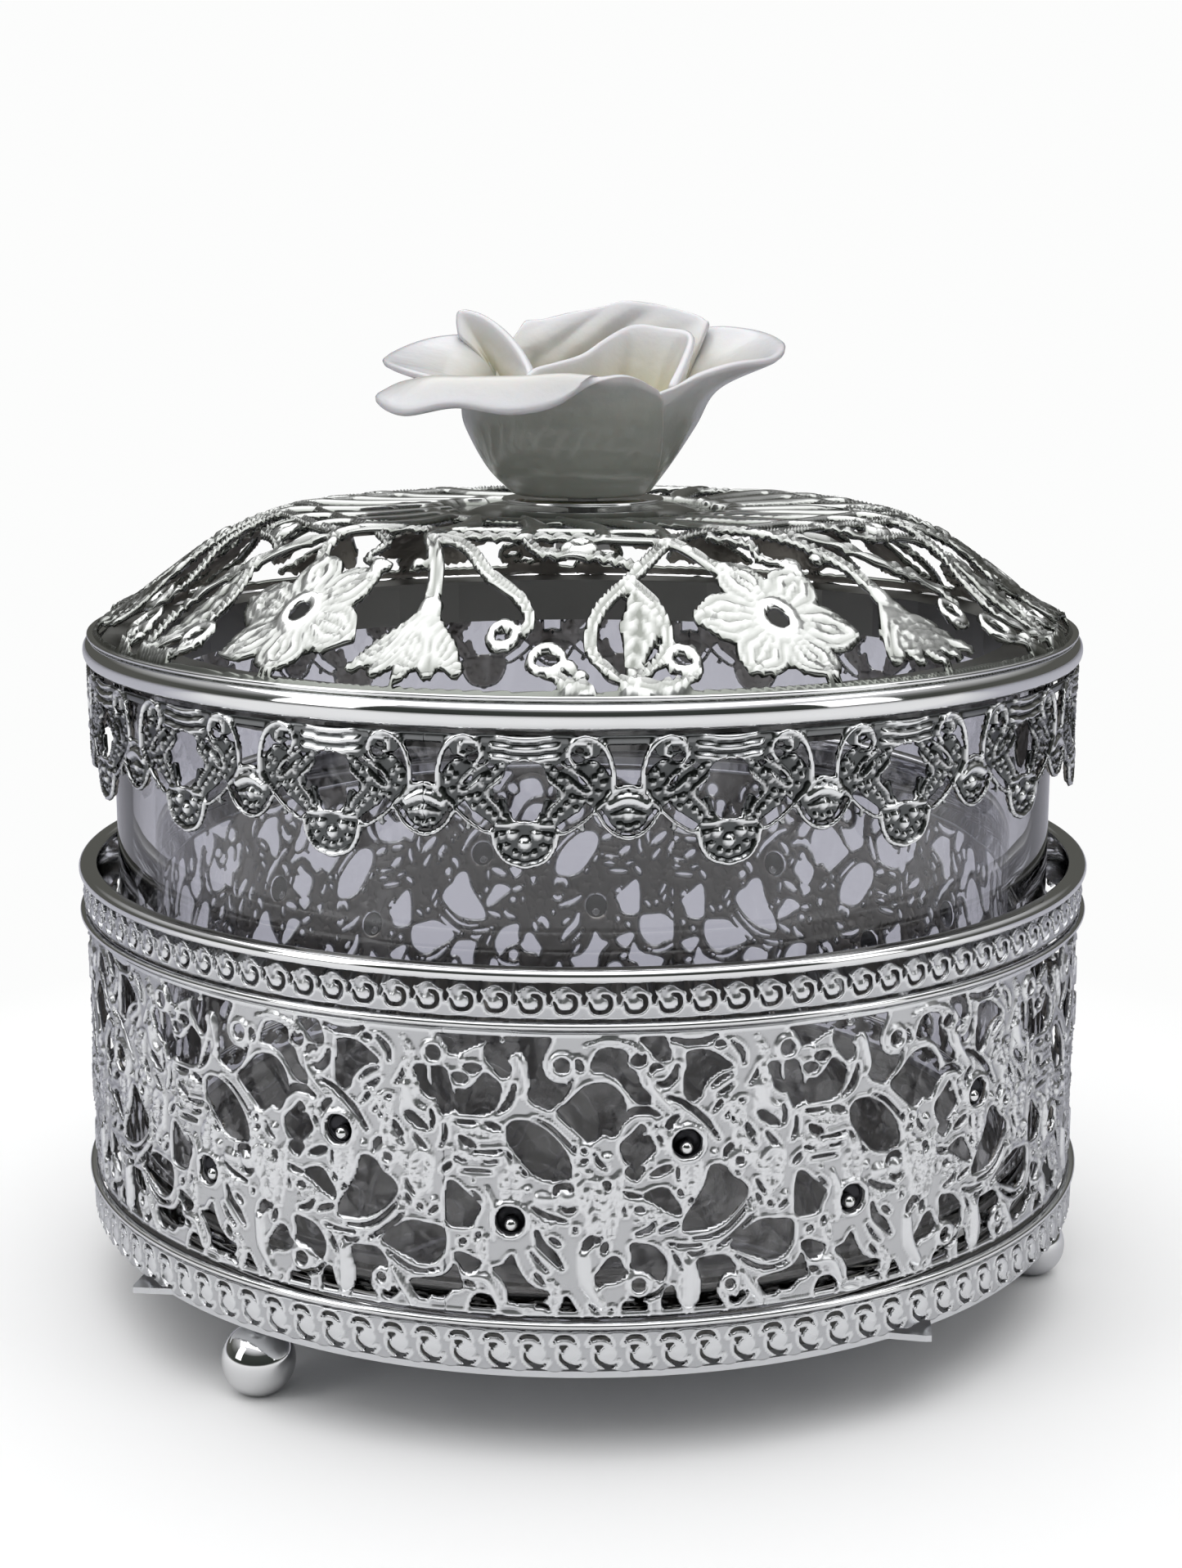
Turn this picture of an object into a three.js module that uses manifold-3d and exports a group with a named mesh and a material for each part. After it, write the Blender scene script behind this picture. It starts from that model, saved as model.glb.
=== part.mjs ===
// A round trinket box: a glass jar in an openwork metal basket on three ball feet, under an
// openwork domed lid with a lace skirt and a porcelain rose as its knob.
// Millimetres, +Z up. The origin is on the floor under the middle of the box, and angles are
// measured from the front (-Y) towards +X.
import * as THREE from "three";
import { mergeVertices } from "three/addons/utils/BufferGeometryUtils.js";
import Module from "manifold-3d";

const wasm = await Module();
wasm.setup();

// ---- driving dimensions ----
const gap = 0.3; // between two pieces that rest on each other
const basketRadius = 52; // over the rim bead, the widest place
const ringSegments = 36;

const footDiameter = 7;
const footFlat = 0.12; // how much of each ball is flattened where it stands
const footInset = 4.2; // from the widest place to the middle of a foot
const footAngles = [-39.5, 80.5, 200.5];
const screwShankRadius = 0.8;
const screwHeadRadius = 1.6;
const screwHeadHeight = 0.8;
const screwGrip = 3.2; // depth of the screw in the ball
const screwPlay = 0.3;

const plateThickness = 1;
const plateInset = 1.2; // from the widest place to the plate's edge
const lugReach = 2; // past the widest place
const lugWidth = 7;
const lugAngles = [-53.6, 36.4, 126.4, 216.4];

const sheetThickness = 0.7; // stamped strips and wall
const borderInset = 0.3; // from the widest place to the strips' outer face
const wallInset = 0.5;
const wireThickness = 0.6;
const wireDepth = 1;
const lowerBorderHeight = 3.8;
const upperBorderHeight = 2.9;
const rimBeadHeight = 1.2;
const rimBeadDepth = 1.9;
const rimBandThickness = 0.4;
const rimBandHeight = 5.2;
const wallRepeats = 11;

const jarPlay = 2.1; // between the jar and the rim's inner band
const jarHeight = 57.8;
const glassShowing = 8.1; // of the jar, between the basket's rim and the lid's lace
const jarWall = 3;
const jarBase = 4;
const jarHeelRadius = 5;

const lidOverhang = 2.8; // from the jar's side to the outside of the lid's bead
const lidBeadHeight = 2.5;
const lidBeadDepth = 1.5;
const lidBeadDrop = 1.1; // the bead's foot, under the top of the jar's lip
const seatFlangeThickness = 0.8;
const seatCollarDepth = 4;
const seatCollarThickness = 0.9;
const seatCollarPlay = 0.7;
const skirtThickness = 0.5;
const skirtInset = 0.3; // from the bead's outside to the skirt's
const skirtLargeDrop = 11.8;
const skirtSmallDrop = 9;
const skirtValleyDrop = 5.8;
const skirtPendants = 18;
const skirtTurn = -5.5;
const skirtValleyAngle = 5.6; // from a large pendant's middle to the valley beside it
const diamondWidth = 5;
const diamondHeight = 4.6;
const diamondDrop = 5.4;

const domeThickness = 0.8;
const domeInset = 0.6; // from the bead's outside to the dome's foot
const domeLipHeight = 1.7;
const domeLipDraft = 1;
const domeRise = 12.1;
const domeCrownRadius = 28;
const domeFlankRun = 5.7;
const domeFlankRise = 1.5;
const domeShoulderRun = 10;
const domeRepeats = 6;

const collarRadius = 9.2;
const collarThickness = 0.5;
const studRadius = 1.5;
const studPlay = 0.3;
const studInRose = 5.5;
const washerRadius = 4;
const washerThickness = 0.6;
const nutRadius = 3.2;
const nutHeight = 2.5;
const studEnd = 0.8; // stud standing out under the nut

const cupBaseRadius = 7.8;
const cupTopRadius = 12.5;
const cupHeight = 7.9;
const cupWall = 1.3;
const petalThickness = 1.1;
const budRadius = 3.8;
const budHeight = 7;
const innerPetalRootRadius = 5.2;
const innerPetalTopRadius = 9;
const innerPetalHeight = 9.5;
const innerPetalAngles = [10, 130, 250];
const innerPetalSpread = 104;
// Each outer petal spans from one angle to another; its tip has an angle, a radius and a rise over the cup.
const outerPetals = [
  { name: "rose_petal_front", from: -68, to: 31, tip: -50, reach: 20.6, rise: 1.9 },
  { name: "rose_petal_right", from: 34, to: 114, tip: 88, reach: 21, rise: 6.2 },
  { name: "rose_petal_back_right", from: 117, to: 196, tip: 152, reach: 13.6, rise: 11.4 },
  { name: "rose_petal_back_left", from: 199, to: 240, tip: 222, reach: 17.6, rise: 10.4 },
  { name: "rose_petal_left", from: 243, to: 289, tip: 266, reach: 20.7, rise: 4.4 },
];

// ---- heights and radii worked out from them ----
const footTop = footDiameter - footFlat;
const footCircleRadius = basketRadius - footInset;
const plateBottom = footTop + gap;
const plateTop = plateBottom + plateThickness;
const lowerBorderBottom = plateTop + gap;
const lowerWireBottom = lowerBorderBottom + lowerBorderHeight + gap;
const wallBottom = lowerWireBottom + wireThickness + gap;
const wallRadius = basketRadius - wallInset;
const bandOuterRadius = basketRadius - borderInset - sheetThickness - wireDepth / 2;
const bandInnerRadius = bandOuterRadius - rimBandThickness;
const jarRadius = bandInnerRadius - jarPlay;
const jarBottom = plateTop + gap;
const jarTop = jarBottom + jarHeight;
const lidBeadBottom = jarTop - lidBeadDrop;
const lidBeadTop = lidBeadBottom + lidBeadHeight;
const skirtTop = lidBeadBottom - gap;
const rimTop = skirtTop - skirtLargeDrop - glassShowing;
const rimBottom = rimTop - rimBeadHeight;
const upperBorderBottom = rimBottom - gap - upperBorderHeight;
const upperWireBottom = upperBorderBottom - gap - wireThickness;
const wallTop = upperWireBottom - gap;
const wallHeight = wallTop - wallBottom;
const jarInnerRadius = jarRadius - jarWall;
const lidRadius = jarRadius + lidOverhang;
const seatBottom = jarTop + gap;
const seatTop = seatBottom + seatFlangeThickness;
const seatCollarRadius = jarInnerRadius - seatCollarPlay;
const skirtRadius = lidRadius - skirtInset;
const domeFoot = lidBeadTop + gap;
const domeTop = domeFoot + domeRise;
const domeRadius = lidRadius - domeInset;
const collarBottom = domeTop + gap;
const cupBottom = collarBottom + collarThickness + gap;
const cupTop = cupBottom + cupHeight;
const boreRadius = studRadius + studPlay;

// ---- materials ----
const metal = (name, color, roughness) =>
  new THREE.MeshStandardMaterial({ name, color, roughness, metalness: 1 });
const platedBasket = metal("plated_basket", 0xc9cbcd, 0.3);
const platedLid = metal("plated_lid", 0xd6d7d6, 0.18);
const polishedRim = metal("polished_rim", 0xdadcdd, 0.1);
const polishedBall = metal("polished_ball", 0xd9dbde, 0.06);
const steel = metal("steel", 0xb4b6b8, 0.4);
const glass = new THREE.MeshStandardMaterial({
  name: "clear_glass", color: 0xe8eeee, roughness: 0.04, transparent: true, opacity: 0.35,
});
const porcelain = new THREE.MeshStandardMaterial({ name: "porcelain", color: 0xefece2, roughness: 0.22 });

// ---- from geometry to solids and back ----
function solid(geometry) {
  geometry.deleteAttribute("normal");
  geometry.deleteAttribute("uv");
  const merged = mergeVertices(geometry, 1e-4);
  const vertProperties = merged.attributes.position.array;
  const triVerts = new Uint32Array(merged.index.array);
  return new wasm.Manifold(new wasm.Mesh({ numProp: 3, vertProperties, triVerts }));
}

const group = new THREE.Group();

function addPiece(name, material, made) {
  const { vertProperties, triVerts } = made.getMesh();
  const geometry = new THREE.BufferGeometry();
  geometry.setAttribute("position", new THREE.BufferAttribute(vertProperties, 3));
  geometry.setIndex(new THREE.BufferAttribute(triVerts, 1));
  geometry.computeVertexNormals();
  const mesh = new THREE.Mesh(geometry, material);
  mesh.name = name;
  group.add(mesh);
}

// A profile of [radius, height] points turned about the vertical axis. A profile that starts off
// the axis is closed on itself, so it makes a ring. Points run anticlockwise, radius to the right.
function turned(profile, segments = ringSegments) {
  const closed = profile[0][0] > 0 ? [...profile, profile[0]] : profile;
  const points = closed.map(([r, z]) => new THREE.Vector2(r, z));
  return solid(new THREE.LatheGeometry(points, segments).rotateX(Math.PI / 2));
}

const band = (inner, outer, bottom, top, segments = ringSegments) =>
  turned([[inner, bottom], [outer, bottom], [outer, top], [inner, top]], segments);

const disc = (radius, bottom, top, segments) =>
  turned([[0, bottom], [radius, bottom], [radius, top], [0, top]], segments);

const along = (curve, count) => curve.getPoints(count).map((p) => [p.x, p.y]);

const radians = THREE.MathUtils.degToRad;

const polar = (radius, degrees) =>
  new THREE.Vector2(radius * Math.sin(radians(degrees)), -radius * Math.cos(radians(degrees)));

function extruded(shape, depth, curveSegments) {
  return new THREE.ExtrudeGeometry(shape, { depth, curveSegments, bevelEnabled: false });
}

// A prism that runs out from the axis at an angle: the shape's x lies around the drum, its y is height.
function radialPrism(shape, angle, from, to, curveSegments = 3) {
  const out = new THREE.Vector3(...polar(1, angle), 0);
  const up = new THREE.Vector3(0, 0, 1);
  const around = new THREE.Vector3().crossVectors(up, out);
  const place = new THREE.Matrix4().makeBasis(around, up, out).setPosition(out.multiplyScalar(from));
  return solid(extruded(shape, to - from, curveSegments).applyMatrix4(place));
}

// A prism through the lid from below to above.
function verticalPrism(shape, bottom, top, curveSegments = 3) {
  return solid(extruded(shape, top - bottom, curveSegments).translate(0, 0, bottom));
}

function oval(x, y, length, width, turn) {
  return new THREE.Shape().absellipse(x, y, length / 2, width / 2, 0, 2 * Math.PI, false, radians(turn));
}

const without = (body, cuts) => cuts.reduce((rest, cut) => rest.subtract(cut), body);

// ---- basket ----
function rolledRim() {
  const inner = basketRadius - rimBeadDepth;
  const bead = new THREE.EllipseCurve(
    basketRadius - rimBeadHeight / 2, rimBottom + rimBeadHeight / 2,
    rimBeadHeight / 2, rimBeadHeight / 2, -Math.PI / 2, Math.PI / 2,
  );
  const bandBottom = rimTop - rimBandHeight;
  return turned([
    [bandInnerRadius, bandBottom], [bandOuterRadius, bandBottom], [bandOuterRadius, rimBottom],
    [inner + rimBandThickness, rimBottom], ...along(bead, 4), [bandInnerRadius, rimTop],
  ]);
}

function wire(bottom) {
  const top = bottom + wireThickness;
  const middle = bottom + wireThickness / 2;
  const flank = basketRadius - wireThickness / 4;
  const inner = basketRadius - wireDepth;
  return turned([[inner, bottom], [flank, bottom], [basketRadius, middle], [flank, top], [inner, top]]);
}

function borderStrip(bottom, height) {
  const outer = basketRadius - borderInset;
  return band(outer - sheetThickness, outer, bottom, bottom + height);
}

// The openings of one repeat of the wall: share of the repeat, share of the height, length, width, turn.
const wallOpenings = [
  [0.22, 0.8, 7.5, 4.2, 20],
  [0.74, 0.76, 6.5, 4.6, -35],
  [0.48, 0.47, 8, 4.8, 30],
  [0.98, 0.44, 6.5, 3.8, -50],
  [0.2, 0.17, 6.4, 4.4, 0],
  [0.7, 0.16, 7, 3.8, 15],
];

function openworkWall() {
  const repeat = 360 / wallRepeats;
  const cuts = [];
  for (let i = 0; i < wallRepeats; i += 1) {
    for (const [across, high, length, width, turn] of wallOpenings) {
      const shape = oval(0, wallBottom + high * wallHeight, length, width, turn);
      cuts.push(radialPrism(shape, (i + across) * repeat, wallRadius - 4, wallRadius + 4, 2));
    }
  }
  return without(band(wallRadius - sheetThickness, wallRadius, wallBottom, wallTop), cuts);
}

function lug(angle) {
  const plateRadius = basketRadius - plateInset;
  const tip = new THREE.Shape();
  tip.moveTo(-lugWidth / 2, plateRadius - lugWidth / 2);
  tip.lineTo(lugWidth / 2, plateRadius - lugWidth / 2);
  tip.lineTo(lugWidth / 2, basketRadius);
  tip.lineTo(0, basketRadius + lugReach);
  tip.lineTo(-lugWidth / 2, basketRadius);
  tip.closePath();
  const flat = extruded(tip, plateThickness, 1).translate(0, 0, plateBottom);
  return solid(flat.rotateZ(radians(angle + 180)));
}

function floorPlate() {
  const plate = lugAngles.reduce(
    (whole, angle) => whole.add(lug(angle)),
    disc(basketRadius - plateInset, plateBottom, plateTop, ringSegments),
  );
  const holes = footAngles.map((angle) => {
    const { x, y } = polar(footCircleRadius, angle);
    const round = oval(x, y, 2 * (screwShankRadius + screwPlay), 2 * (screwShankRadius + screwPlay), 0);
    return verticalPrism(round, plateBottom - 1, plateTop + 1);
  });
  return without(plate, holes);
}

// A turned piece of a foot, moved out to its place on the foot circle.
function atFoot(made, angle) {
  const { x, y } = polar(footCircleRadius, angle);
  return made.translate([x, y, 0]);
}

function footBall() {
  const radius = footDiameter / 2;
  const ball = solid(new THREE.SphereGeometry(radius, 16, 10).rotateX(Math.PI / 2));
  const bore = disc(screwShankRadius + screwPlay, footTop - screwGrip - screwPlay, footTop + 1, 8);
  const floor = disc(radius, -radius, 0, 16);
  return ball.translate([0, 0, radius - footFlat]).subtract(bore).subtract(floor);
}

function footScrew() {
  const headBottom = plateTop + gap;
  const head = headBottom + screwHeadHeight;
  return turned([
    [0, footTop - screwGrip], [screwShankRadius, footTop - screwGrip], [screwShankRadius, headBottom],
    [screwHeadRadius, headBottom], [screwHeadRadius, head - screwHeadHeight / 3],
    [screwHeadRadius / 2, head], [0, head],
  ], 8);
}

addPiece("basket_rim", polishedRim, rolledRim());
addPiece("basket_upper_border", platedBasket, borderStrip(upperBorderBottom, upperBorderHeight));
addPiece("basket_upper_wire", polishedRim, wire(upperWireBottom));
addPiece("basket_wall", platedBasket, openworkWall());
addPiece("basket_lower_wire", polishedRim, wire(lowerWireBottom));
addPiece("basket_lower_border", platedBasket, borderStrip(lowerBorderBottom, lowerBorderHeight));
addPiece("floor_plate", platedBasket, floorPlate());
footAngles.forEach((angle, i) => {
  addPiece(`foot_ball_${i + 1}`, polishedBall, atFoot(footBall(), angle));
  addPiece(`foot_screw_${i + 1}`, steel, atFoot(footScrew(), angle));
});

// ---- jar ----
function jar() {
  const heel = new THREE.EllipseCurve(
    jarRadius - jarHeelRadius, jarBottom + jarHeelRadius, jarHeelRadius, jarHeelRadius, -Math.PI / 2, 0,
  );
  const innerHeel = Math.max(jarHeelRadius - jarWall / 2, jarWall / 2);
  const well = new THREE.EllipseCurve(
    jarInnerRadius - innerHeel, jarBottom + jarBase + innerHeel, innerHeel, innerHeel, 0, -Math.PI / 2, true,
  );
  const lip = new THREE.EllipseCurve(
    jarRadius - jarWall / 2, jarTop - jarWall / 2, jarWall / 2, jarWall / 2, 0, Math.PI,
  );
  return turned([
    [0, jarBottom], ...along(heel, 3), ...along(lip, 4), ...along(well, 3), [0, jarBottom + jarBase],
  ]);
}

addPiece("glass_jar", glass, jar());

// ---- lid ----
function lidRim() {
  const inner = lidRadius - lidBeadDepth;
  const face = new THREE.EllipseCurve(
    inner + lidBeadDepth / 3, lidBeadBottom + lidBeadHeight / 2,
    (lidBeadDepth * 2) / 3, lidBeadHeight / 2, -Math.PI / 2, Math.PI / 2,
  );
  return turned([[inner, lidBeadBottom], ...along(face, 4), [inner, lidBeadTop]]);
}

function lidSeatRing() {
  const outer = lidRadius - lidBeadDepth - gap;
  const inner = seatCollarRadius - seatCollarThickness;
  const collarFoot = seatBottom - seatCollarDepth;
  return turned([
    [inner, collarFoot], [seatCollarRadius, collarFoot], [seatCollarRadius, seatBottom],
    [outer, seatBottom], [outer, seatTop], [inner, seatTop],
  ]);
}

// The lace: a band whose lower edge runs from each large pendant's tip over a valley to a small one,
// with a diamond opening in each large pendant and an oval one on each side under the rim.
function lidSkirt() {
  const step = 360 / skirtPendants;
  const across = (degrees) => skirtRadius * Math.tan(radians(degrees));
  const largeTip = skirtTop - skirtLargeDrop;
  const smallTip = skirtTop - skirtSmallDrop;
  const valley = skirtTop - skirtValleyDrop;
  const below = new THREE.Shape();
  below.moveTo(across(-step / 2), largeTip);
  below.lineTo(across(-step / 2), largeTip - 1);
  below.lineTo(across(step / 2), largeTip - 1);
  below.lineTo(across(step / 2), largeTip);
  below.lineTo(across(step / 2 - skirtValleyAngle), valley);
  below.lineTo(0, smallTip);
  below.lineTo(across(skirtValleyAngle - step / 2), valley);
  below.closePath();
  const diamond = new THREE.Shape();
  diamond.moveTo(-diamondWidth / 2, skirtTop - diamondDrop);
  diamond.lineTo(0, skirtTop - diamondDrop - diamondHeight / 2);
  diamond.lineTo(diamondWidth / 2, skirtTop - diamondDrop);
  diamond.lineTo(0, skirtTop - diamondDrop + diamondHeight / 2);
  diamond.closePath();
  const from = skirtRadius - 4;
  const to = skirtRadius + 4;
  const cuts = [];
  for (let i = 0; i < skirtPendants; i += 1) {
    const angle = skirtTurn + i * step;
    cuts.push(radialPrism(below, angle + step / 2, from, to));
    cuts.push(radialPrism(diamond, angle, from, to));
    cuts.push(radialPrism(oval(0, skirtTop - 2.6, 2.4, 3, 0), angle + step / 2, from, to, 2));
  }
  return without(band(skirtRadius - skirtThickness, skirtRadius, largeTip, skirtTop), cuts);
}

function domeProfile(offset) {
  const lip = [domeRadius - domeLipDraft - offset, domeFoot + domeLipHeight];
  const flank = new THREE.CubicBezierCurve(
    new THREE.Vector2(...lip),
    new THREE.Vector2(lip[0] - domeFlankRun, lip[1] + domeFlankRise),
    new THREE.Vector2(domeCrownRadius + domeShoulderRun, domeTop - offset),
    new THREE.Vector2(domeCrownRadius, domeTop - offset),
  );
  return [[domeRadius - offset, domeFoot], ...along(flank, 5)];
}

// The openings of one repeat of the dome: share of the repeat, share of the radius, length, width, turn.
const domeOpenings = [
  [0.5, 0.8, 9, 4.6, 70],
  [0.2, 0.62, 8, 3.8, -40],
  [0.78, 0.6, 8, 4, 35],
  [0.02, 0.88, 6, 3.4, 0],
  [0.5, 0.42, 6.5, 3.4, 0],
];

function openworkDome() {
  const shell = turned([
    ...domeProfile(0), [boreRadius, domeTop], [boreRadius, domeTop - domeThickness],
    ...domeProfile(domeThickness).reverse(),
  ]);
  const repeat = 360 / domeRepeats;
  const cuts = [];
  for (let i = 0; i < domeRepeats; i += 1) {
    for (const [across, out, length, width, turn] of domeOpenings) {
      const angle = (i + across) * repeat;
      const { x, y } = polar(out * domeRadius, angle);
      cuts.push(verticalPrism(oval(x, y, length, width, angle + turn), domeFoot - 1, domeTop + 1, 2));
    }
  }
  return without(shell, cuts);
}

addPiece("lid_rim", polishedRim, lidRim());
addPiece("lid_seat_ring", polishedRim, lidSeatRing());
addPiece("lid_skirt", platedLid, lidSkirt());
addPiece("lid_dome", platedLid, openworkDome());

// ---- rose and its fixing ----
const nutTop = domeTop - domeThickness - gap - washerThickness - gap;
const studTop = cupBottom + studInRose;

function washer() {
  const top = nutTop + gap + washerThickness;
  return band(boreRadius, washerRadius, top - washerThickness, top, 16);
}

function nut() {
  const bottom = nutTop - nutHeight;
  return disc(nutRadius, bottom, nutTop, 6).subtract(disc(boreRadius, bottom - 1, nutTop + 1, 12));
}

function roseCollar() {
  return band(boreRadius, collarRadius, collarBottom, collarBottom + collarThickness, 24);
}

// A cone with a bowl in its top and a bore for the stud.
function roseCup() {
  const bowlRadius = cupTopRadius - cupWall;
  const bowlFloor = cupBottom + studInRose + gap - cupWall / 2;
  return turned([
    [boreRadius, cupBottom], [cupBaseRadius, cupBottom], [cupTopRadius, cupTop],
    [bowlRadius, cupTop], [innerPetalRootRadius + cupWall, bowlFloor], [boreRadius, bowlFloor],
  ], 24);
}

// A flared shell cut to a petal's outline as seen from above.
function petal({ from, to, tip, reach, rise }, rootRadius, rootHeight) {
  const flare = new THREE.QuadraticBezierCurve(
    new THREE.Vector2(rootRadius, rootHeight),
    new THREE.Vector2((rootRadius * 2 + reach) / 3, rootHeight + rise * 0.7),
    new THREE.Vector2(reach, rootHeight + rise - petalThickness),
  );
  const outside = along(flare, 3);
  const inside = outside.map(([r, z]) => [r - petalThickness / 2, z + petalThickness]).reverse();
  const outline = new THREE.Shape();
  const side = (a, b, share) => a + (b - a) * share;
  outline.moveTo(0, 0);
  outline.lineTo(...polar(rootRadius * 1.05, from));
  outline.quadraticCurveTo(...polar(reach * 0.98, side(from, tip, 0.25)), ...polar(reach * 1.05, tip));
  outline.quadraticCurveTo(...polar(reach * 0.98, side(to, tip, 0.25)), ...polar(rootRadius * 1.05, to));
  outline.closePath();
  const cutter = verticalPrism(outline, rootHeight - 1, rootHeight + rise + 3, 4);
  return turned([...outside, ...inside]).intersect(cutter);
}

function bud() {
  const bottom = studTop + 2 * gap;
  const dome = new THREE.EllipseCurve(0, bottom + budHeight - budRadius, budRadius, budRadius, 0, Math.PI / 2);
  return turned([[0, bottom], [budRadius * 0.7, bottom], ...along(dome, 4)], 12);
}

const stud = disc(studRadius, nutTop - nutHeight - studEnd, studTop, 12);
addPiece("rose_stud", steel, stud);
addPiece("rose_nut", steel, nut());
addPiece("rose_washer", steel, washer());
addPiece("rose_collar", polishedRim, roseCollar());
addPiece("rose_cup", porcelain, roseCup());
for (const shape of outerPetals) {
  addPiece(shape.name, porcelain, petal(shape, cupTopRadius, cupTop + gap));
}
innerPetalAngles.forEach((angle, i) => {
  const shape = {
    from: angle - innerPetalSpread / 2, to: angle + innerPetalSpread / 2, tip: angle,
    reach: innerPetalTopRadius, rise: innerPetalHeight,
  };
  addPiece(`rose_inner_petal_${i + 1}`, porcelain, petal(shape, innerPetalRootRadius, studTop + gap));
});
addPiece("rose_bud", porcelain, bud());

export default group;
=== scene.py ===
import math

import bpy
import numpy as np
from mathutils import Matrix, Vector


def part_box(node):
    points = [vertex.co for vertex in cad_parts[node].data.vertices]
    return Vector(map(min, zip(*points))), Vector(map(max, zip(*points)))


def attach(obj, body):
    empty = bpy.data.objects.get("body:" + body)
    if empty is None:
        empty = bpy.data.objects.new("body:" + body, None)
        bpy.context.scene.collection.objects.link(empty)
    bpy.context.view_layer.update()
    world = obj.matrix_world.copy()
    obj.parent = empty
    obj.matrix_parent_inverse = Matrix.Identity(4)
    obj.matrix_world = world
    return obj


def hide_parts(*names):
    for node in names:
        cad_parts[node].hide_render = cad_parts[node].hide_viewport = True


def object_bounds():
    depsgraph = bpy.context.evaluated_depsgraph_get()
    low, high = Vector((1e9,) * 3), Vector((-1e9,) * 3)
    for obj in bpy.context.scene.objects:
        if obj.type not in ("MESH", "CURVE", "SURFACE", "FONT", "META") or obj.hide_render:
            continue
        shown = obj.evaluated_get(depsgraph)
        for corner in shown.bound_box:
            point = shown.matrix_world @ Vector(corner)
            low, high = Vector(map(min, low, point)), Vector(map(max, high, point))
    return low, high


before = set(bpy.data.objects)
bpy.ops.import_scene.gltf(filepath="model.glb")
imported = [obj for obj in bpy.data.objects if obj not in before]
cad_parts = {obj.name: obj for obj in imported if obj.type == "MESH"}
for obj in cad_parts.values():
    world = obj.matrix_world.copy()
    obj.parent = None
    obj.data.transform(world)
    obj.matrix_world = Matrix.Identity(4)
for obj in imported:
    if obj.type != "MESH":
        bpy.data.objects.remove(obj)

MM = 0.001
scene = bpy.context.scene
cad_low, cad_high = [list(corner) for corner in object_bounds()]


# ---- Camera ----
# A little above the box and about two and a half widths in front of it, looking slightly down.
half_width = cad_high[0]
camera_data = bpy.data.cameras.new("camera")
camera_data.lens = 56.6
camera_data.sensor_width = 36
camera_data.shift_x = 0.0053
camera = bpy.data.objects.new("camera", camera_data)
camera.location = (0, -4.87 * half_width, 1.942 * half_width)
camera.rotation_euler = (math.radians(90 - 11.2), 0, 0)
scene.collection.objects.link(camera)
scene.camera = camera


# ---- Studio ----
# A white sweep of paper, a big soft light overhead, two soft side lights and a dim room around,
# so that bright metal picks up both light and dark.
scene.view_settings.view_transform = "Standard"
floor_mesh = bpy.data.meshes.new("floor")
floor_mesh.from_pydata([(-3, -2, 0), (3, -2, 0), (3, 6, 0), (-3, 6, 0)], [], [(0, 1, 2, 3)])
floor = bpy.data.objects.new("floor", floor_mesh)
scene.collection.objects.link(floor)


def fill(tree, node, inputs):
    """Sets each input of a shader node to a value, or links it to another node's output."""
    for socket, value in inputs.items():
        if isinstance(value, bpy.types.NodeSocket):
            tree.links.new(value, node.inputs[socket])
        else:
            node.inputs[socket].default_value = value


def add(tree, kind, output, inputs, **settings):
    """Adds a shader node with its settings and inputs, and returns one of its outputs."""
    node = tree.nodes.new("ShaderNode" + kind)
    for name, value in settings.items():
        setattr(node, name, value)
    fill(tree, node, inputs)
    return node.outputs[output]


def mix(tree, share, low, high, **settings):
    """Two colours mixed by a share, from the low one at 0 to the high one at 1."""
    return add(tree, "Mix", "Result", {"Factor": share, "A": low, "B": high}, data_type="RGBA", **settings)


def span(tree, value, low, high):
    """The share of the way that a value has gone from low to high."""
    return add(tree, "MapRange", "Result", {"Value": value, "From Min": low, "From Max": high})


def tones(tree, value, stops):
    """A colour that runs through the tones of the stops, each (value, tone), as a value grows."""
    node = tree.nodes.new("ShaderNodeValToRGB")
    fill(tree, node, {0: value})
    elements = node.color_ramp.elements
    for element, (position, tone) in zip(elements, (stops[0], stops[-1])):
        element.position, element.color = position, (*tone, 1)
    for position, tone in stops[1:-1]:
        elements.new(position).color = (*tone, 1)
    return node.outputs[0]


def new_material(name):
    """A new material, and the tree of shader nodes that gives its look."""
    material = bpy.data.materials.new(name)
    material.use_nodes = True
    return material, material.node_tree


PAPER_WHITE = (0.975, 0.978, 0.975, 1)
paper, tree = new_material("white_paper")
lens_ray = add(tree, "LightPath", "Is Camera Ray", {})
place = add(tree, "TexCoord", "Object", {})
# In reflections and bounce light the floor is dimmer than the camera sees it, and it is painted darker behind
# the box: a painted shadow of the box.
shadow_behind_box = span(tree, add(tree, "SeparateXYZ", "Y", {0: place}), -0.03, 0.03)
floor_in_reflections = mix(tree, shadow_behind_box, (0.74, 0.74, 0.745, 1), (0.42, 0.42, 0.465, 1))
sheet = tree.nodes["Principled BSDF"]
seen = mix(tree, lens_ray, floor_in_reflections, (0.95, 0.95, 0.95, 1))
fill(tree, sheet, {"Roughness": 0.9, "Specular IOR Level": 0.1, "Base Color": seen})
far = span(tree, add(tree, "VectorMath", "Value", {0: place}, operation="LENGTH"), 0.05, 0.13)
seen_far = add(tree, "Math", "Value", {0: far, 1: lens_ray}, operation="MULTIPLY")
glow = add(tree, "Emission", "Emission", {"Color": PAPER_WHITE})
look = add(tree, "MixShader", "Shader", {0: seen_far, 1: sheet.outputs["BSDF"], 2: glow})
fill(tree, tree.nodes["Material Output"], {"Surface": look})
floor_mesh.materials.append(paper)


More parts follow.
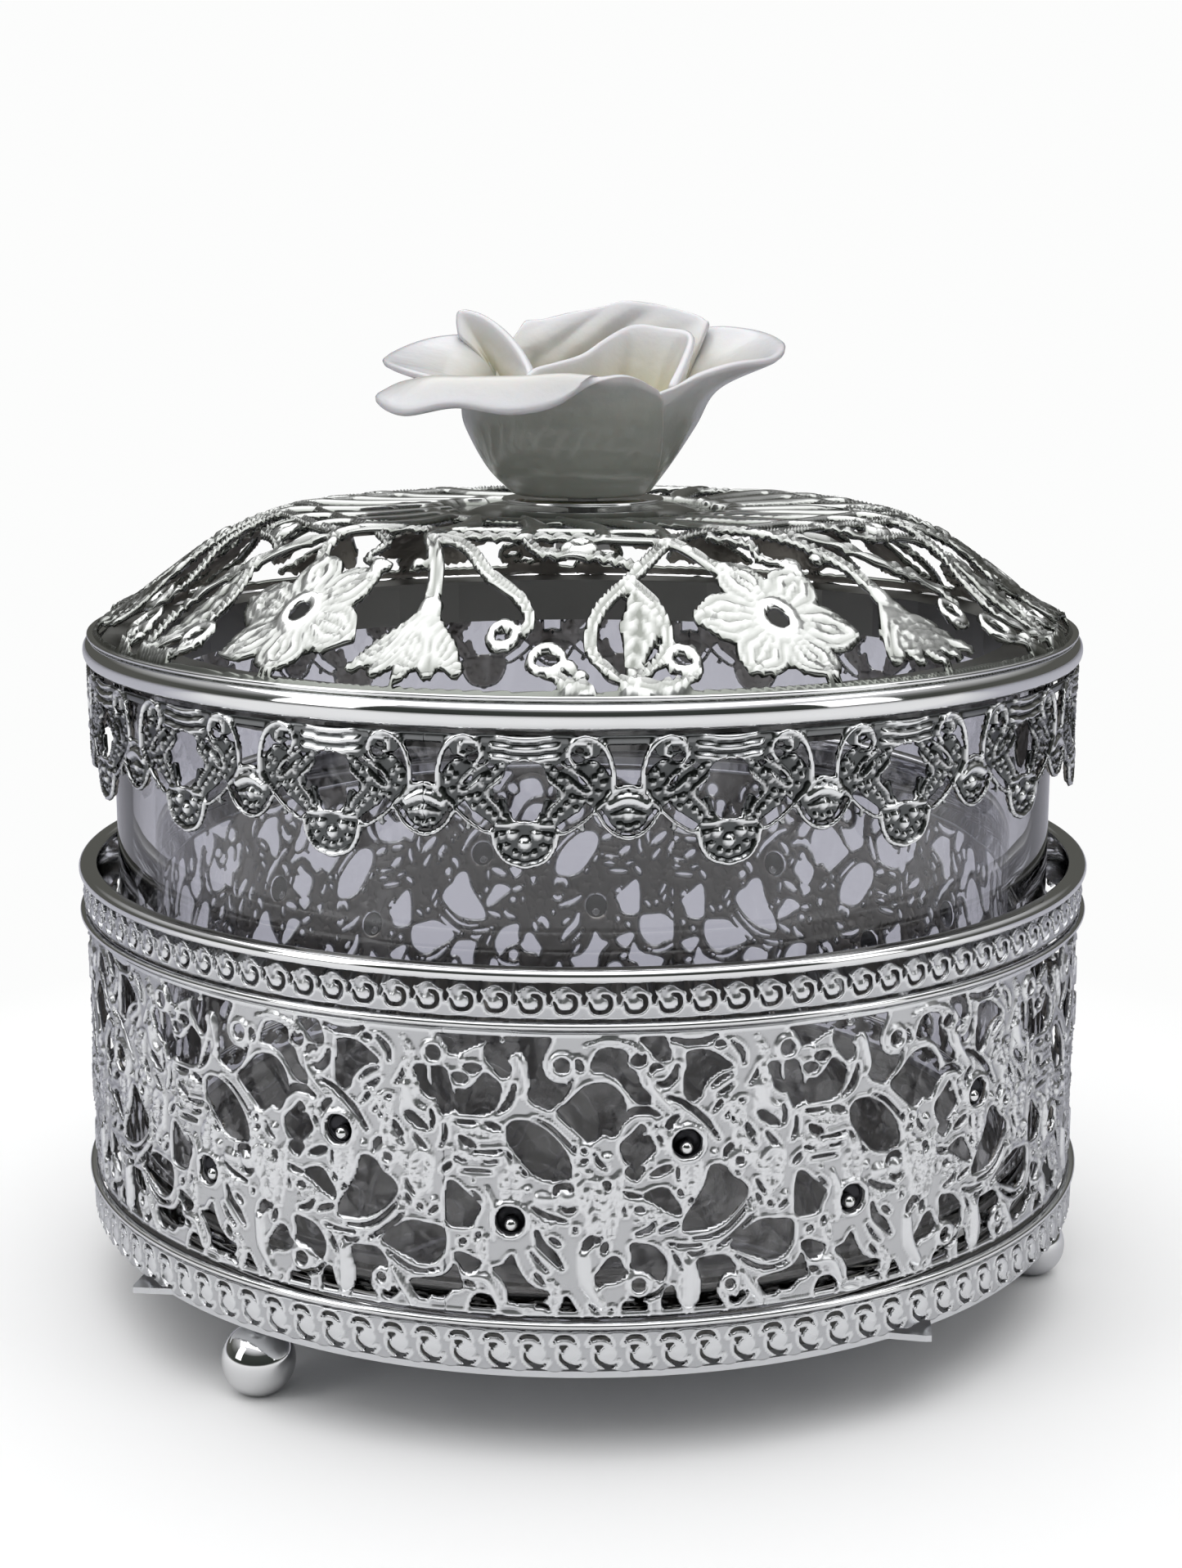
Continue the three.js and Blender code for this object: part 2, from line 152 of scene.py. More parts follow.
def soft_light(name, place, target, size, power):
    """A rectangular lamp at a place, turned to face a target; all in metres and watts."""
    data = bpy.data.lights.new(name, "AREA")
    data.shape = "RECTANGLE"
    data.size, data.size_y = size
    data.energy = power
    lamp = bpy.data.objects.new(name, data)
    across, along, up = np.array(target, float) - np.array(place, float)
    lamp.location = place
    lamp.rotation_euler = (math.atan2(math.hypot(across, along), -up), 0, math.atan2(-across, along))
    scene.collection.objects.link(lamp)


soft_light("overhead_light", (-0.04, 0.02, 0.75), (0, 0, 0.05), (1.25, 1.25), 6.4)
soft_light("left_light", (-0.75, -0.45, 0.45), (0, 0, 0.06), (0.35, 0.6), 1.3)
soft_light("right_light", (0.75, -0.4, 0.4), (0, 0, 0.06), (0.3, 0.55), 0.8)

# greys of the room by height, from the horizon at 0 to straight up at 1, behind the box and before it
room = bpy.data.worlds.new("room")
room.use_nodes = True
scene.world = room
tree = room.node_tree
direction = tree.nodes.new("ShaderNodeTexCoord").outputs["Generated"]
height = add(tree, "SeparateXYZ", "Z", {0: direction})
behind = tones(tree, height, [
    (0, (0.10, 0.10, 0.09)), (0.3, (0.10, 0.10, 0.09)), (0.55, (0.5, 0.5, 0.5)), (1, (0.8, 0.8, 0.8)),
])
before = tones(tree, height, [
    (0, (0.5, 0.5, 0.5)), (0.05, (0.03, 0.035, 0.03)), (0.5, (0.05, 0.055, 0.05)), (0.75, (0.8, 0.8, 0.82)),
    (1, (0.9, 0.9, 0.9)),
])
facing = span(tree, add(tree, "SeparateXYZ", "Y", {0: direction}), 0.5, -0.5)
around = mix(tree, facing, behind, before)
lens_ray = add(tree, "LightPath", "Is Camera Ray", {})
fill(tree, tree.nodes["Background"], {"Color": mix(tree, lens_ray, around, PAPER_WHITE)})


# ---- Floor plate ----
# A thin plate of plated sheet with four pointed lugs, soldered under the drum. The balls screw to it.
# It has a satin plated finish with fine scratches; inside the drum it is duller, and painted darker as
# painted shade.
def plated(name, color, roughness, grain=900, scratch=0.12, recess_shade=None, rise=(0.05, 0.45)):
    """Silver plate: a slightly uneven tint and gloss over the piece, with a fine grain in the surface.
    Where a darker tone is given, the low places of the relief go towards it over the rise: painted shade in
    the recesses."""
    material, tree = new_material(name)
    place = add(tree, "TexCoord", "Object", {})
    cloud = add(tree, "TexNoise", "Fac", {"Vector": place, "Scale": 140, "Detail": 4})
    tint = mix(tree, cloud, (*[c * 0.9 for c in color], 1), (*color, 1))
    # the recesses of the relief are painted darker, as painted shade
    if recess_shade is not None:
        relief = add(tree, "Attribute", "Fac", {}, attribute_name="relief")
        recess_shade_tone = tones(tree, relief, [(rise[0], recess_shade), (rise[1], (1, 1, 1))])
        tint = mix(tree, 1, tint, recess_shade_tone, blend_type="MULTIPLY")
    gloss = add(tree, "MapRange", "Result", {
        "Value": cloud, "To Min": roughness * 0.75, "To Max": roughness * 1.35,
    })
    fine = add(tree, "TexNoise", "Fac", {"Vector": place, "Scale": grain, "Detail": 3})
    bump = add(tree, "Bump", "Normal", {"Height": fine, "Strength": scratch, "Distance": 0.05 * MM})
    shader = tree.nodes["Principled BSDF"]
    fill(tree, shader, {"Metallic": 1, "Base Color": tint, "Roughness": gloss, "Normal": bump})
    return material


satin_plate = plated("satin_plate", (0.74, 0.75, 0.77), 0.3)


def finish_node(name, material):
    """A worked part keeps its shape and takes a better finish."""
    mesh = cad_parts[name].data
    mesh.materials.clear()
    mesh.materials.append(material)


def node_box(name):
    """Lowest and highest corner of a worked part, in millimetres."""
    low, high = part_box(name)
    return np.array(low) / MM, np.array(high) / MM


def surface(name, points, faces, material, body, slot, replaced=(), relief=None):
    """A new smooth mesh piece in millimetres, riding on a body and standing for the named nodes."""
    mesh = bpy.data.meshes.new(name)
    mesh.from_pydata((np.asarray(points) * MM).tolist(), [], faces)
    mesh.polygons.foreach_set("use_smooth", np.ones(len(mesh.polygons), bool))
    if relief is not None:
        layer = mesh.attributes.new("relief", "FLOAT", "POINT")
        layer.data.foreach_set("value", np.asarray(relief, np.float32))
    mesh.materials.append(material)
    mesh.update()
    piece = bpy.data.objects.new(name, mesh)
    scene.collection.objects.link(piece)
    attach(piece, body)
    if replaced:
        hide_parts(*replaced)
    return piece


low, high = node_box("floor_plate")
LUGS, LUG_REACH, LUG_HALF_ANGLE = (-53.6, 36.4, 126.4, 216.4), 2.9, 3.0
PLATE_RADIUS, PLATE_DEPTH, DULL_SHADED_RADIUS = 50.6, 0.6, 49
angle = np.linspace(0, 360, 720, endpoint=False)
away = np.min([np.abs((angle - lug + 180) % 360 - 180) for lug in LUGS], axis=0)
reach = PLATE_RADIUS + LUG_REACH * np.clip(1 - away / LUG_HALF_ANGLE, 0, 1)
outline = np.stack([np.sin(np.radians(angle)), -np.cos(np.radians(angle))], -1)
count = len(angle)
points = np.vstack([
    np.column_stack([outline * np.reshape(radius, (-1, 1)), np.full(count, z)])
    for radius, z in ((reach, high[2] - PLATE_DEPTH), (reach, high[2]), (DULL_SHADED_RADIUS, high[2]))
])
here = np.arange(count)
there = (here + 1) % count
faces = [here[::-1].tolist(), (2 * count + here).tolist()]
for row in (0, count):
    faces += np.stack([row + here, row + there, row + count + there, row + count + here], -1).tolist()
plate = surface("footed_plate", points, faces, satin_plate, "basket", "plated_basket", ["floor_plate"])
# its inside face is rougher and painted darker, as painted shade inside the drum
plate.data.materials.append(plated("unpolished_shaded_plate", (0.36, 0.355, 0.34), 0.5, grain=600))
plate.data.polygons[1].material_index = 1
plate.data.polygons.foreach_set("use_smooth", np.zeros(len(faces), bool))


# ---- Ball feet and their screws ----
# Three solid balls turned and polished to a mirror, each held by a screw from inside.
def turned(profile, steps):
    """A profile of (radius, height) points carried round the upright axis: x = r sin a, y = -r cos a.
    A profile that starts on the axis gets one point at each pole; any other is closed on itself."""
    profile = np.asarray(profile, float)
    poles = profile[0, 0] < 1e-9
    ring = profile[1:-1] if poles else profile
    angle = np.linspace(0, 2 * np.pi, steps, endpoint=False)[:, None]
    points = np.stack([
        ring[:, 0] * np.sin(angle), -ring[:, 0] * np.cos(angle), ring[:, 1] + 0 * angle,
    ], -1).reshape(-1, 3)
    count = len(ring)
    i, j = np.meshgrid(np.arange(steps), np.arange(count - 1 if poles else count), indexing="ij")
    here, there = i * count, (i + 1) % steps * count
    up = (j + 1) % count
    faces = np.stack([here + j, there + j, there + up, here + up], -1).reshape(-1, 4).tolist()
    if poles:
        low, high = len(points), len(points) + 1
        points = np.vstack([points, [[0, 0, profile[0, 1]], [0, 0, profile[-1, 1]]]])
        k = np.arange(steps)
        after = (k + 1) % steps
        faces += np.stack([np.full(steps, low), after * count, k * count], -1).tolist()
        top = count - 1
        faces += np.stack([np.full(steps, high), k * count + top, after * count + top], -1).tolist()
    return points, faces


def arc(centre, radius, start, end, steps):
    """Points of (radius, height) on a circle or ellipse, from one angle to another in degrees."""
    a = np.radians(np.linspace(start, end, steps))
    return np.stack([centre[0] + radius[0] * np.cos(a), centre[1] + radius[1] * np.sin(a)], -1)


mirror_plate = plated("mirror_plate", (0.88, 0.885, 0.89), 0.045, grain=500, scratch=0.02)
screw_steel = plated("screw_steel", (0.62, 0.62, 0.62), 0.35, grain=1500, scratch=0.3)
for number in (1, 2, 3):
    low, high = node_box(f"foot_ball_{number}")
    middle_x, middle_y = (low + high)[:2] / 2
    radius = (high - low)[0] / 2
    centre = high[2] - radius
    flat = np.degrees(np.arcsin((low[2] - centre) / radius))
    outline = arc((0, centre), (radius, radius), flat, 90, 40)
    outline = np.vstack([[0, low[2]], outline])
    outline[-1, 0] = 0
    points, faces = turned(outline, 64)
    surface(f"ball_foot_{number}", points + [middle_x, middle_y, 0], faces, mirror_plate, "basket",
            "polished_ball", [f"foot_ball_{number}"])
    finish_node(f"foot_screw_{number}", screw_steel)


# ---- Rims and wires ----
# The basket's rolled rim with its smooth inside band, the two plain wires soldered over the joints of
# the strips, and the lid's half-round bead: drawn metal, polished bright.
RING_STEPS = 256
polished_plate = plated("polished_plate", (0.86, 0.865, 0.87), 0.055, grain=700, scratch=0.03)


def rounded_band(low_radius, high_radius, bottom, top, corner, steps=6):
    """The outline of a band's section with rounded corners, anticlockwise from the inside foot."""
    corners = [
        ((high_radius - corner, bottom + corner), -90, 0), ((high_radius - corner, top - corner), 0, 90),
        ((low_radius + corner, top - corner), 90, 180), ((low_radius + corner, bottom + corner), 180, 270),
    ]
    return np.vstack([arc(c, (corner, corner), a, b, steps) for c, a, b in corners])


def polished_ring(title, section, body, name, steps=RING_STEPS):
    """A polished ring with a given section, standing for a worked part."""
    surface(title, *turned(section, steps), polished_plate, body, "polished_rim", [name])


WIRE_DEPTH, WIRE_ROUNDING = 0.9, 0.49
for name, title in (("basket_upper_wire", "upper_wire"), ("basket_lower_wire", "lower_wire")):
    low, high = node_box(name)
    outer, bottom, top = high[0], low[2], high[2]
    section = rounded_band(outer - WIRE_DEPTH, outer, bottom, top, (top - bottom) * WIRE_ROUNDING)
    polished_ring(title, section, "basket", name)

# the rim: a smooth band inside, rolled over the strip at the top
low, high = node_box("basket_rim")
rim_top, rim_outer = high[2], node_box("basket_upper_wire")[1][0]
BAND_INSET, BAND_WALL, BAND_CORNER, ROLL = 1.2, 0.4, 0.5, 0.62
band_outer = node_box("basket_upper_border")[1][0] - BAND_INSET
band_inner = band_outer - BAND_WALL
polished_ring("rolled_rim", np.vstack([
    [[band_inner, low[2]], [band_outer, low[2]], [band_outer, rim_top - 2 * ROLL]],
    arc((rim_outer - ROLL, rim_top - ROLL), (ROLL, ROLL), -90, 90, 12),
    arc((band_inner + BAND_CORNER, rim_top - BAND_CORNER), (BAND_CORNER, BAND_CORNER), 90, 180, 5),
]), "basket", "basket_rim")

# the lid's bead, and the hem soldered to the foot of the dome
low, high = node_box("lid_rim")
lid_outer, bead_bottom, bead_top = high[0], low[2], high[2]
BEAD_SWELL, BEAD_BACK = 1.0, 1.5
half_bead = (bead_top - bead_bottom) / 2
polished_ring("lid_bead", np.vstack([
    [[lid_outer - BEAD_BACK, bead_bottom]],
    arc((lid_outer - BEAD_SWELL, bead_bottom + half_bead), (BEAD_SWELL, half_bead), -90, 90, 24),
    [[lid_outer - BEAD_BACK, bead_top]],
]), "lid", "lid_rim")
low, high = node_box("lid_dome")
HEM_INSIDE, HEM_OUTSIDE, HEM_BELOW, HEM_ABOVE, HEM_CORNER = 0.6, 0.15, 0.22, 0.2, 0.18
section = rounded_band(high[0] - HEM_INSIDE, high[0] + HEM_OUTSIDE, low[2] - HEM_BELOW, low[2] + HEM_ABOVE,
                       HEM_CORNER)
polished_ring("lid_hem", section, "lid", "lid_rim")
finish_node("lid_seat_ring", plated("seat_plate", (0.20, 0.20, 0.19), 0.35))


# ---- Scroll strips ----
# Two stamped strips with a running scroll, one under the rim and one round the foot, pierced and
# scalloped at the edge.
class Die:
    """A grid of points in millimetres over a stamped pattern, with what is struck and pierced in it.
    cover is over zero where metal is left, and is the distance to its edge; relief is how far the
    metal stands up. copies are the same points as the neighbouring repeats see them."""

    def __init__(self, x, y, copies, solid):
        self.x, self.y, self.copies = x, y, copies
        self.cover = np.full(x.shape, 1.0 if solid else -1.0)
        self.relief = np.zeros(x.shape)

    def strike(self, near, inside, rise):
        """Adds metal where inside is over zero, and raises it to rise."""
        self.cover[near] = np.maximum(self.cover[near], inside)
        self.relief[near] = np.where(inside > 0, np.maximum(self.relief[near], rise), self.relief[near])

    def pierce(self, near, inside):
        """Takes metal away where inside is over zero."""
        self.cover[near] = np.minimum(self.cover[near], -inside)

    def beside(self, path, reach):
        """For each copy that comes within reach of a path: the points that do, and their x and y."""
        low, high = path.min(0) - reach, path.max(0) + reach
        for x, y in self.copies:
            near = (x > low[0]) & (x < high[0]) & (y > low[1]) & (y < high[1])
            if near.any():
                yield near, x[near], y[near]

    def along(self, points, widths):
        """For each copy: the points near a curve through the given ones, how deep each is inside its
        width, its share of the half width and the share of the way along the curve."""
        path, half = smooth_path(points, widths)
        run = np.concatenate([[0], np.cumsum(np.hypot(*np.diff(path, axis=0).T))])
        for near, px, py in self.beside(path, half.max() + 1.0):
            inside = np.full(px.shape, -9.0)
            share = np.full(px.shape, 9.0)
            distance = np.zeros(px.shape)
            for k in range(len(path) - 1):
                away, t = from_segment(px, py, path[k], path[k + 1])
                width = half[k] + (half[k + 1] - half[k]) * t
                better = width - away > inside
                inside = np.where(better, width - away, inside)
                share = np.where(better, away / np.maximum(width, 1e-6), share)
                distance = np.where(better, run[k] + t * (run[k + 1] - run[k]), distance)
            yield near, inside, np.clip(share, 0, 1), distance / run[-1]

    def line(self, points, widths, rise, form="round"):
        """A raised line, with the section that its form gives it."""
        for near, inside, share, distance in self.along(points, widths):
            self.strike(near, inside, rise * FORMS[form](share, distance))

    def slot(self, points, widths):
        """A slit cut along a curve."""
        for near, inside, _, _ in self.along(points, widths):
            self.pierce(near, inside)

    def opening(self, points):
        """A pierced opening with a smooth outline through the points."""
        loop = spline([*points, *points[:3]], 4)[4:4 * len(points) + 5]
        for near, px, py in self.beside(loop, 1.0):
            away = np.full(px.shape, 9.0)
            within = np.zeros(px.shape, bool)
            for (ax, ay), (bx, by) in zip(loop, loop[1:]):
                away = np.minimum(away, from_segment(px, py, (ax, ay), (bx, by))[0])
                if ay != by:
                    within ^= ((ay > py) != (by > py)) & (px < ax + (bx - ax) * (py - ay) / (by - ay))
            self.pierce(near, np.where(within, away, -away))

    def pillow(self, rise, width):
        """Rounds the metal so that it swells up from every cut edge."""
        self.relief = np.maximum(self.relief, rise * (1 - np.exp(-np.clip(self.cover, 0, 1) / width)))

    def about(self, x, y, reach):
        """For each copy: the points within reach of a point, and how far they are from it."""
        for copy_x, copy_y in self.copies:
            away = np.hypot(copy_x - x, copy_y - y)
            near = away < reach
            yield near, away[near]

    def ring(self, x, y, radius, width, rise):
        """A raised ring about a point, pierced in its middle."""
        for near, away in self.about(x, y, radius + width + 1):
            off = np.abs(away - radius)
            share = np.clip(off / (width / 2), 0, 1)
            self.pierce(near, radius - away)
            self.strike(near, width / 2 - off, rise * np.sqrt(1 - share ** 2))

    def bead(self, x, y, radius, rise):
        """A round bead."""
        for near, away in self.about(x, y, radius + 1):
            share = np.clip(away / radius, 0, 1)
            self.strike(near, radius - away, rise * np.sqrt(1 - share ** 2))

    def drop_specks(self):
        """Takes away single points of metal that no neighbour holds."""
        metal = self.cover > 0
        held = sum(np.roll(metal, shift, axis) for shift in (-1, 1) for axis in (0, 1)) > 0
        self.cover[metal & ~held] = -0.05

    def edge_bead(self, width, rise):
        """Raises a soft bead along every cut edge."""
        bump = np.exp(-(((self.cover - width) / (0.8 * width)) ** 2))
        self.relief = np.maximum(self.relief, rise * bump * (self.cover > 0))


def from_segment(px, py, start, end):
    """How far points are from the line between two others, and the share of the way along it."""
    (ax, ay), (bx, by) = start, end
    dx, dy = bx - ax, by - ay
    t = np.clip(((px - ax) * dx + (py - ay) * dy) / (dx * dx + dy * dy + 1e-12), 0, 1)
    return np.hypot(px - ax - t * dx, py - ay - t * dy), t


def spline(points, steps):
    """A smooth run of points through the given ones, a Catmull-Rom curve with some steps to each span."""
    p = np.asarray(points, float)
    q = np.concatenate([[2 * p[0] - p[1]], p, [2 * p[-1] - p[-2]]])
    t = np.linspace(0, 1, steps, endpoint=False).reshape(-1, *[1] * (p.ndim - 1))
    spans = [
        0.5 * (2 * b + (c - a) * t + (2 * a - 5 * b + 4 * c - d) * t ** 2 + (3 * b - a - 3 * c + d) * t ** 3)
        for a, b, c, d in zip(q, q[1:], q[2:], q[3:])
    ]
    return np.concatenate([*spans, p[-1:]])


def smooth_path(points, widths):
    """A smooth curve through the points, with half widths that change evenly along it."""
    path = spline(points, 6)
    share = np.linspace(0, 1, len(path))
    return path, np.interp(share, np.linspace(0, 1, len(widths)), widths) / 2


def vein_form(share, distance):
    """A leaf: a raised edge, a cut midrib and veins that run forward from it."""
    veins = 0.26 * np.cos(2 * np.pi * (6 * distance - 1.1 * share))
    rib = -0.5 * np.exp(-((share / 0.14) ** 2))
    return np.sqrt(np.clip(1 - share ** 5, 0, 1)) * np.clip(0.62 + veins + rib + 0.4 * share ** 2, 0.1, 1)


def petal_form(share, distance):
    """A petal: ribs that run along it and die out towards its root."""
    ribs = 0.24 * np.cos(2 * np.pi * 2.2 * share) * np.clip(3 * distance, 0.3, 1)
    return np.sqrt(np.clip(1 - share ** 5, 0, 1)) * np.clip(0.58 + ribs + 0.3 * share ** 3, 0.1, 1)


# how high a raised line stands, by the share of its half width and the share of the way along it
FORMS = {
    "round": lambda share, distance: np.sqrt(1 - share ** 2),
    "flat": lambda share, distance: np.sqrt(1 - share ** 6),
    "double": lambda share, distance: np.sqrt(1 - share ** 6)
    * (0.35 + 0.65 * np.exp(-(((share - 0.62) / 0.24) ** 2))),
    "leaf": vein_form,
    "petal": petal_form,
}

# For each pattern of corners with metal, the outline of what is left of a grid cell: numbers 0 to 3
# are its corners, anticlockwise, and 4 to 7 the places where its edges cross the metal's edge.
CELLS = []
for pattern in range(16):
    has = [bool(pattern >> corner & 1) for corner in range(4)]
    outline = []
    for corner in range(4):
        if has[corner]:
            outline.append(corner)
        if has[corner] != has[(corner + 1) % 4]:
            outline.append(corner + 4)
    CELLS.append(outline)


def trimmed_grid(cover, wrap):
    """Faces over the cells of a grid where cover is over zero, cut along the line where it is zero.
    Returns each used point as (row, column) in the grid, and the faces."""
    rows, columns = cover.shape
    total = rows * columns
    row, column = np.meshgrid(np.arange(rows), np.arange(columns), indexing="ij")
    after = np.minimum(row + 1, rows - 1) if not wrap else (row + 1) % rows
    beside = np.minimum(column + 1, columns - 1)

    def crossing(other):
        """Where an edge of each cell crosses the metal's edge, kept a little away from its ends."""
        fall = cover - other
        return np.clip(np.where(np.abs(fall) > 1e-9, cover / np.where(fall == 0, 1, fall), 0.5), 0.04, 0.96)

    across = crossing(cover[after, column])
    aside = crossing(cover[row, beside])
    places = np.concatenate([
        np.stack([row, column], -1).reshape(-1, 2).astype(float),
        np.stack([row + across, column], -1).reshape(-1, 2),
        np.stack([row, column + aside], -1).reshape(-1, 2),
    ])
    r, c = row[:None if wrap else -1, :-1], column[:None if wrap else -1, :-1]
    ra, cb = after[:None if wrap else -1, :-1], c + 1
    ids = np.stack([
        r * columns + c, ra * columns + c, ra * columns + cb, r * columns + cb,
        total + r * columns + c, 2 * total + ra * columns + c,
        total + r * columns + cb, 2 * total + r * columns + c,
    ], -1).reshape(-1, 8)
    metal = (cover > 0).reshape(-1)[ids[:, :4]]
    pattern = (metal * [1, 2, 4, 8]).sum(1)
    faces = []
    for number in range(1, 16):
        faces += ids[pattern == number][:, CELLS[number]].tolist()
    used = np.unique(np.concatenate([np.asarray(f) for f in faces]))
    renumber = np.zeros(3 * total, int)
    renumber[used] = np.arange(len(used))
    return places[used], [[int(renumber[v]) for v in f] for f in faces]


def read_grid(values, places, wrap):
    """Values of a grid at places between its points, by blending the four around each."""
    rows = values.shape[0]
    low = np.floor(places).astype(int)
    part = places - low
    r0 = low[:, 0] % rows
    r1 = (r0 + 1) % rows if wrap else np.minimum(r0 + 1, rows - 1)
    c0 = np.clip(low[:, 1], 0, values.shape[1] - 1)
    c1 = np.minimum(c0 + 1, values.shape[1] - 1)
    a, b = part[:, 0], part[:, 1]
    return (values[r0, c0] * (1 - a) * (1 - b) + values[r1, c0] * a * (1 - b)
            + values[r0, c1] * (1 - a) * b + values[r1, c1] * a * b)


def rolled_sheet(name, die, repeats, radius, bottom, step, turn, thickness, material, body, slot,
                 replaced, parts=1):
    """Rolls a die's pattern round a drum: the angle runs along the grid's rows, the height along its
    columns, and the relief stands out from the radius. repeats may leave a part pattern at the seam."""
    die.drop_specks()
    rows = int(round(die.cover.shape[0] * repeats))
    pick = np.arange(rows) % die.cover.shape[0]
    cover, relief = die.cover[pick], die.relief[pick]
    for part in range(parts):
        first, last = rows * part // parts, rows * (part + 1) // parts
        window = np.arange(first, last + (parts > 1)) % rows
        places, faces = trimmed_grid(cover[window], parts == 1)
        height = read_grid(relief[window], places, parts == 1)
        angle = np.radians(turn) + 2 * np.pi * (places[:, 0] + first) / rows
        out = radius + height
        points = np.stack([out * np.sin(angle), -out * np.cos(angle), bottom + places[:, 1] * step], -1)
        title = name if parts == 1 else f"{name}_{part + 1}"
        piece = surface(title, points, faces, material, body, slot, replaced, height / max(relief.max(), 0.1))
        thicken(piece, thickness, dull_shaded_back)


def thicken(piece, thickness, inside, rim=0):
    """Gives a sheet its thickness inwards, with another material inside. rim is 0 where the cut edge
    looks like the outside, and 1 where it looks like the inside."""
    piece.data.materials.append(inside)
    wall = piece.modifiers.new("thickness", "SOLIDIFY")
    wall.thickness = thickness * MM
    wall.offset = -1
    wall.material_offset = 1
    wall.material_offset_rim = rim


def drum_die(width, height, step, solid):
    """A die for one repeat of a strip: x runs round the drum, y up."""
    columns = int(round(height / step)) + 1
    rows = int(round(width / step))
    x, y = np.meshgrid(np.arange(rows) * width / rows, np.arange(columns) * height / (columns - 1),
                       indexing="ij")
    copies = [(x - width, y), (x, y), (x + width, y)]
    return Die(x, y, copies, solid), height / (columns - 1)


# inside faces of the sheets: rougher, and painted darker and browner as painted shade of the interior
dull_shaded_back = plated("dull_shaded_back", (0.52, 0.49, 0.46), 0.5, grain=600, scratch=0.3)
# the low places of the strips' relief are painted a little darker, as painted shade
scroll_plate = plated("scroll_plate", (0.80, 0.81, 0.825), 0.26, recess_shade=(0.7, 0.7, 0.71))

low, high = node_box("basket_upper_border")
strip_height = high[2] - low[2]
SCROLLS, STRIP_RELIEF = 108, 0.25
scroll_width = 2 * math.pi * high[0] / SCROLLS
die, step = drum_die(scroll_width, strip_height, 0.19, True)
mid = scroll_width / 2
die.slot([(mid - 0.95, 1.55), (mid - 0.6, 0.8), (mid, 0.62), (mid + 0.6, 0.8), (mid + 0.92, 1.35),
          (mid + 0.7, 1.95), (mid + 0.2, 2.1)], [0.2, 0.34, 0.34, 0.34, 0.4, 0.44, 0.3])
die.slot([(mid - 1.35, 1.9), (mid - 1.4, 1.35)], [0.55, 0.2])
die.bead(mid, 1.35, 0.45, 0.22)
die.edge_bead(0.16, 0.15)
scallop = strip_height - 0.32 + 0.3 * np.cos(2 * np.pi * (die.x - mid) / scroll_width)
die.cover = np.minimum(die.cover, scallop - die.y)
rolled_sheet("upper_scroll_strip", die, SCROLLS, high[0] - STRIP_RELIEF, low[2], step, 0, 0.5,
             scroll_plate, "basket", "plated_basket", ["basket_upper_border"])

low, high = node_box("basket_lower_border")
strip_height = high[2] - low[2]
SCROLLS, STRIP_RELIEF = 104, 0.2
scroll_width = 2 * math.pi * high[0] / SCROLLS
die, step = drum_die(scroll_width, strip_height, 0.19, True)
mid = scroll_width / 2
die.slot([(mid - 1.05, 2.7), (mid - 0.6, 3.2), (mid, 3.3), (mid + 0.6, 3.15), (mid + 1.0, 2.6)],
         [0.12, 0.36, 0.44, 0.34, 0.12])
die.slot([(mid - 0.35, 2.35), (mid + 0.1, 2.3), (mid - 0.25, 1.9)], [0.3, 0.5, 0.25])
die.slot([(mid - 0.5, 1.9), (mid - 0.3, 1.2), (mid + 0.3, 0.7), (mid + 1.1, 0.6), (mid + 1.6, 0.9)],
         [0.15, 0.3, 0.36, 0.3, 0.12])
die.bead(mid + 0.65, 1.75, 0.8, 0.16)
die.edge_bead(0.16, 0.14)
scallop = 0.22 + 0.2 * np.cos(2 * np.pi * (die.x - mid - 0.65) / scroll_width)
die.cover = np.minimum(die.cover, die.y - scallop)
rolled_sheet("lower_scroll_strip", die, SCROLLS, high[0] - STRIP_RELIEF, low[2], step, 0, 0.5,
             scroll_plate, "basket", "plated_basket", ["basket_lower_border"])


# ---- Wall of the basket ----
# Sheet stamped with scrolls, leaves, striped bells and small cups with a ball in each, pierced, rolled
# to a drum and soldered at the back.
low, high = node_box("basket_wall")
wall_height = high[2] - low[2]
REPEAT_ANGLE = 35
repeat_width = math.radians(REPEAT_ANGLE) * high[0]
die, step = drum_die(repeat_width, wall_height, 0.215, True)

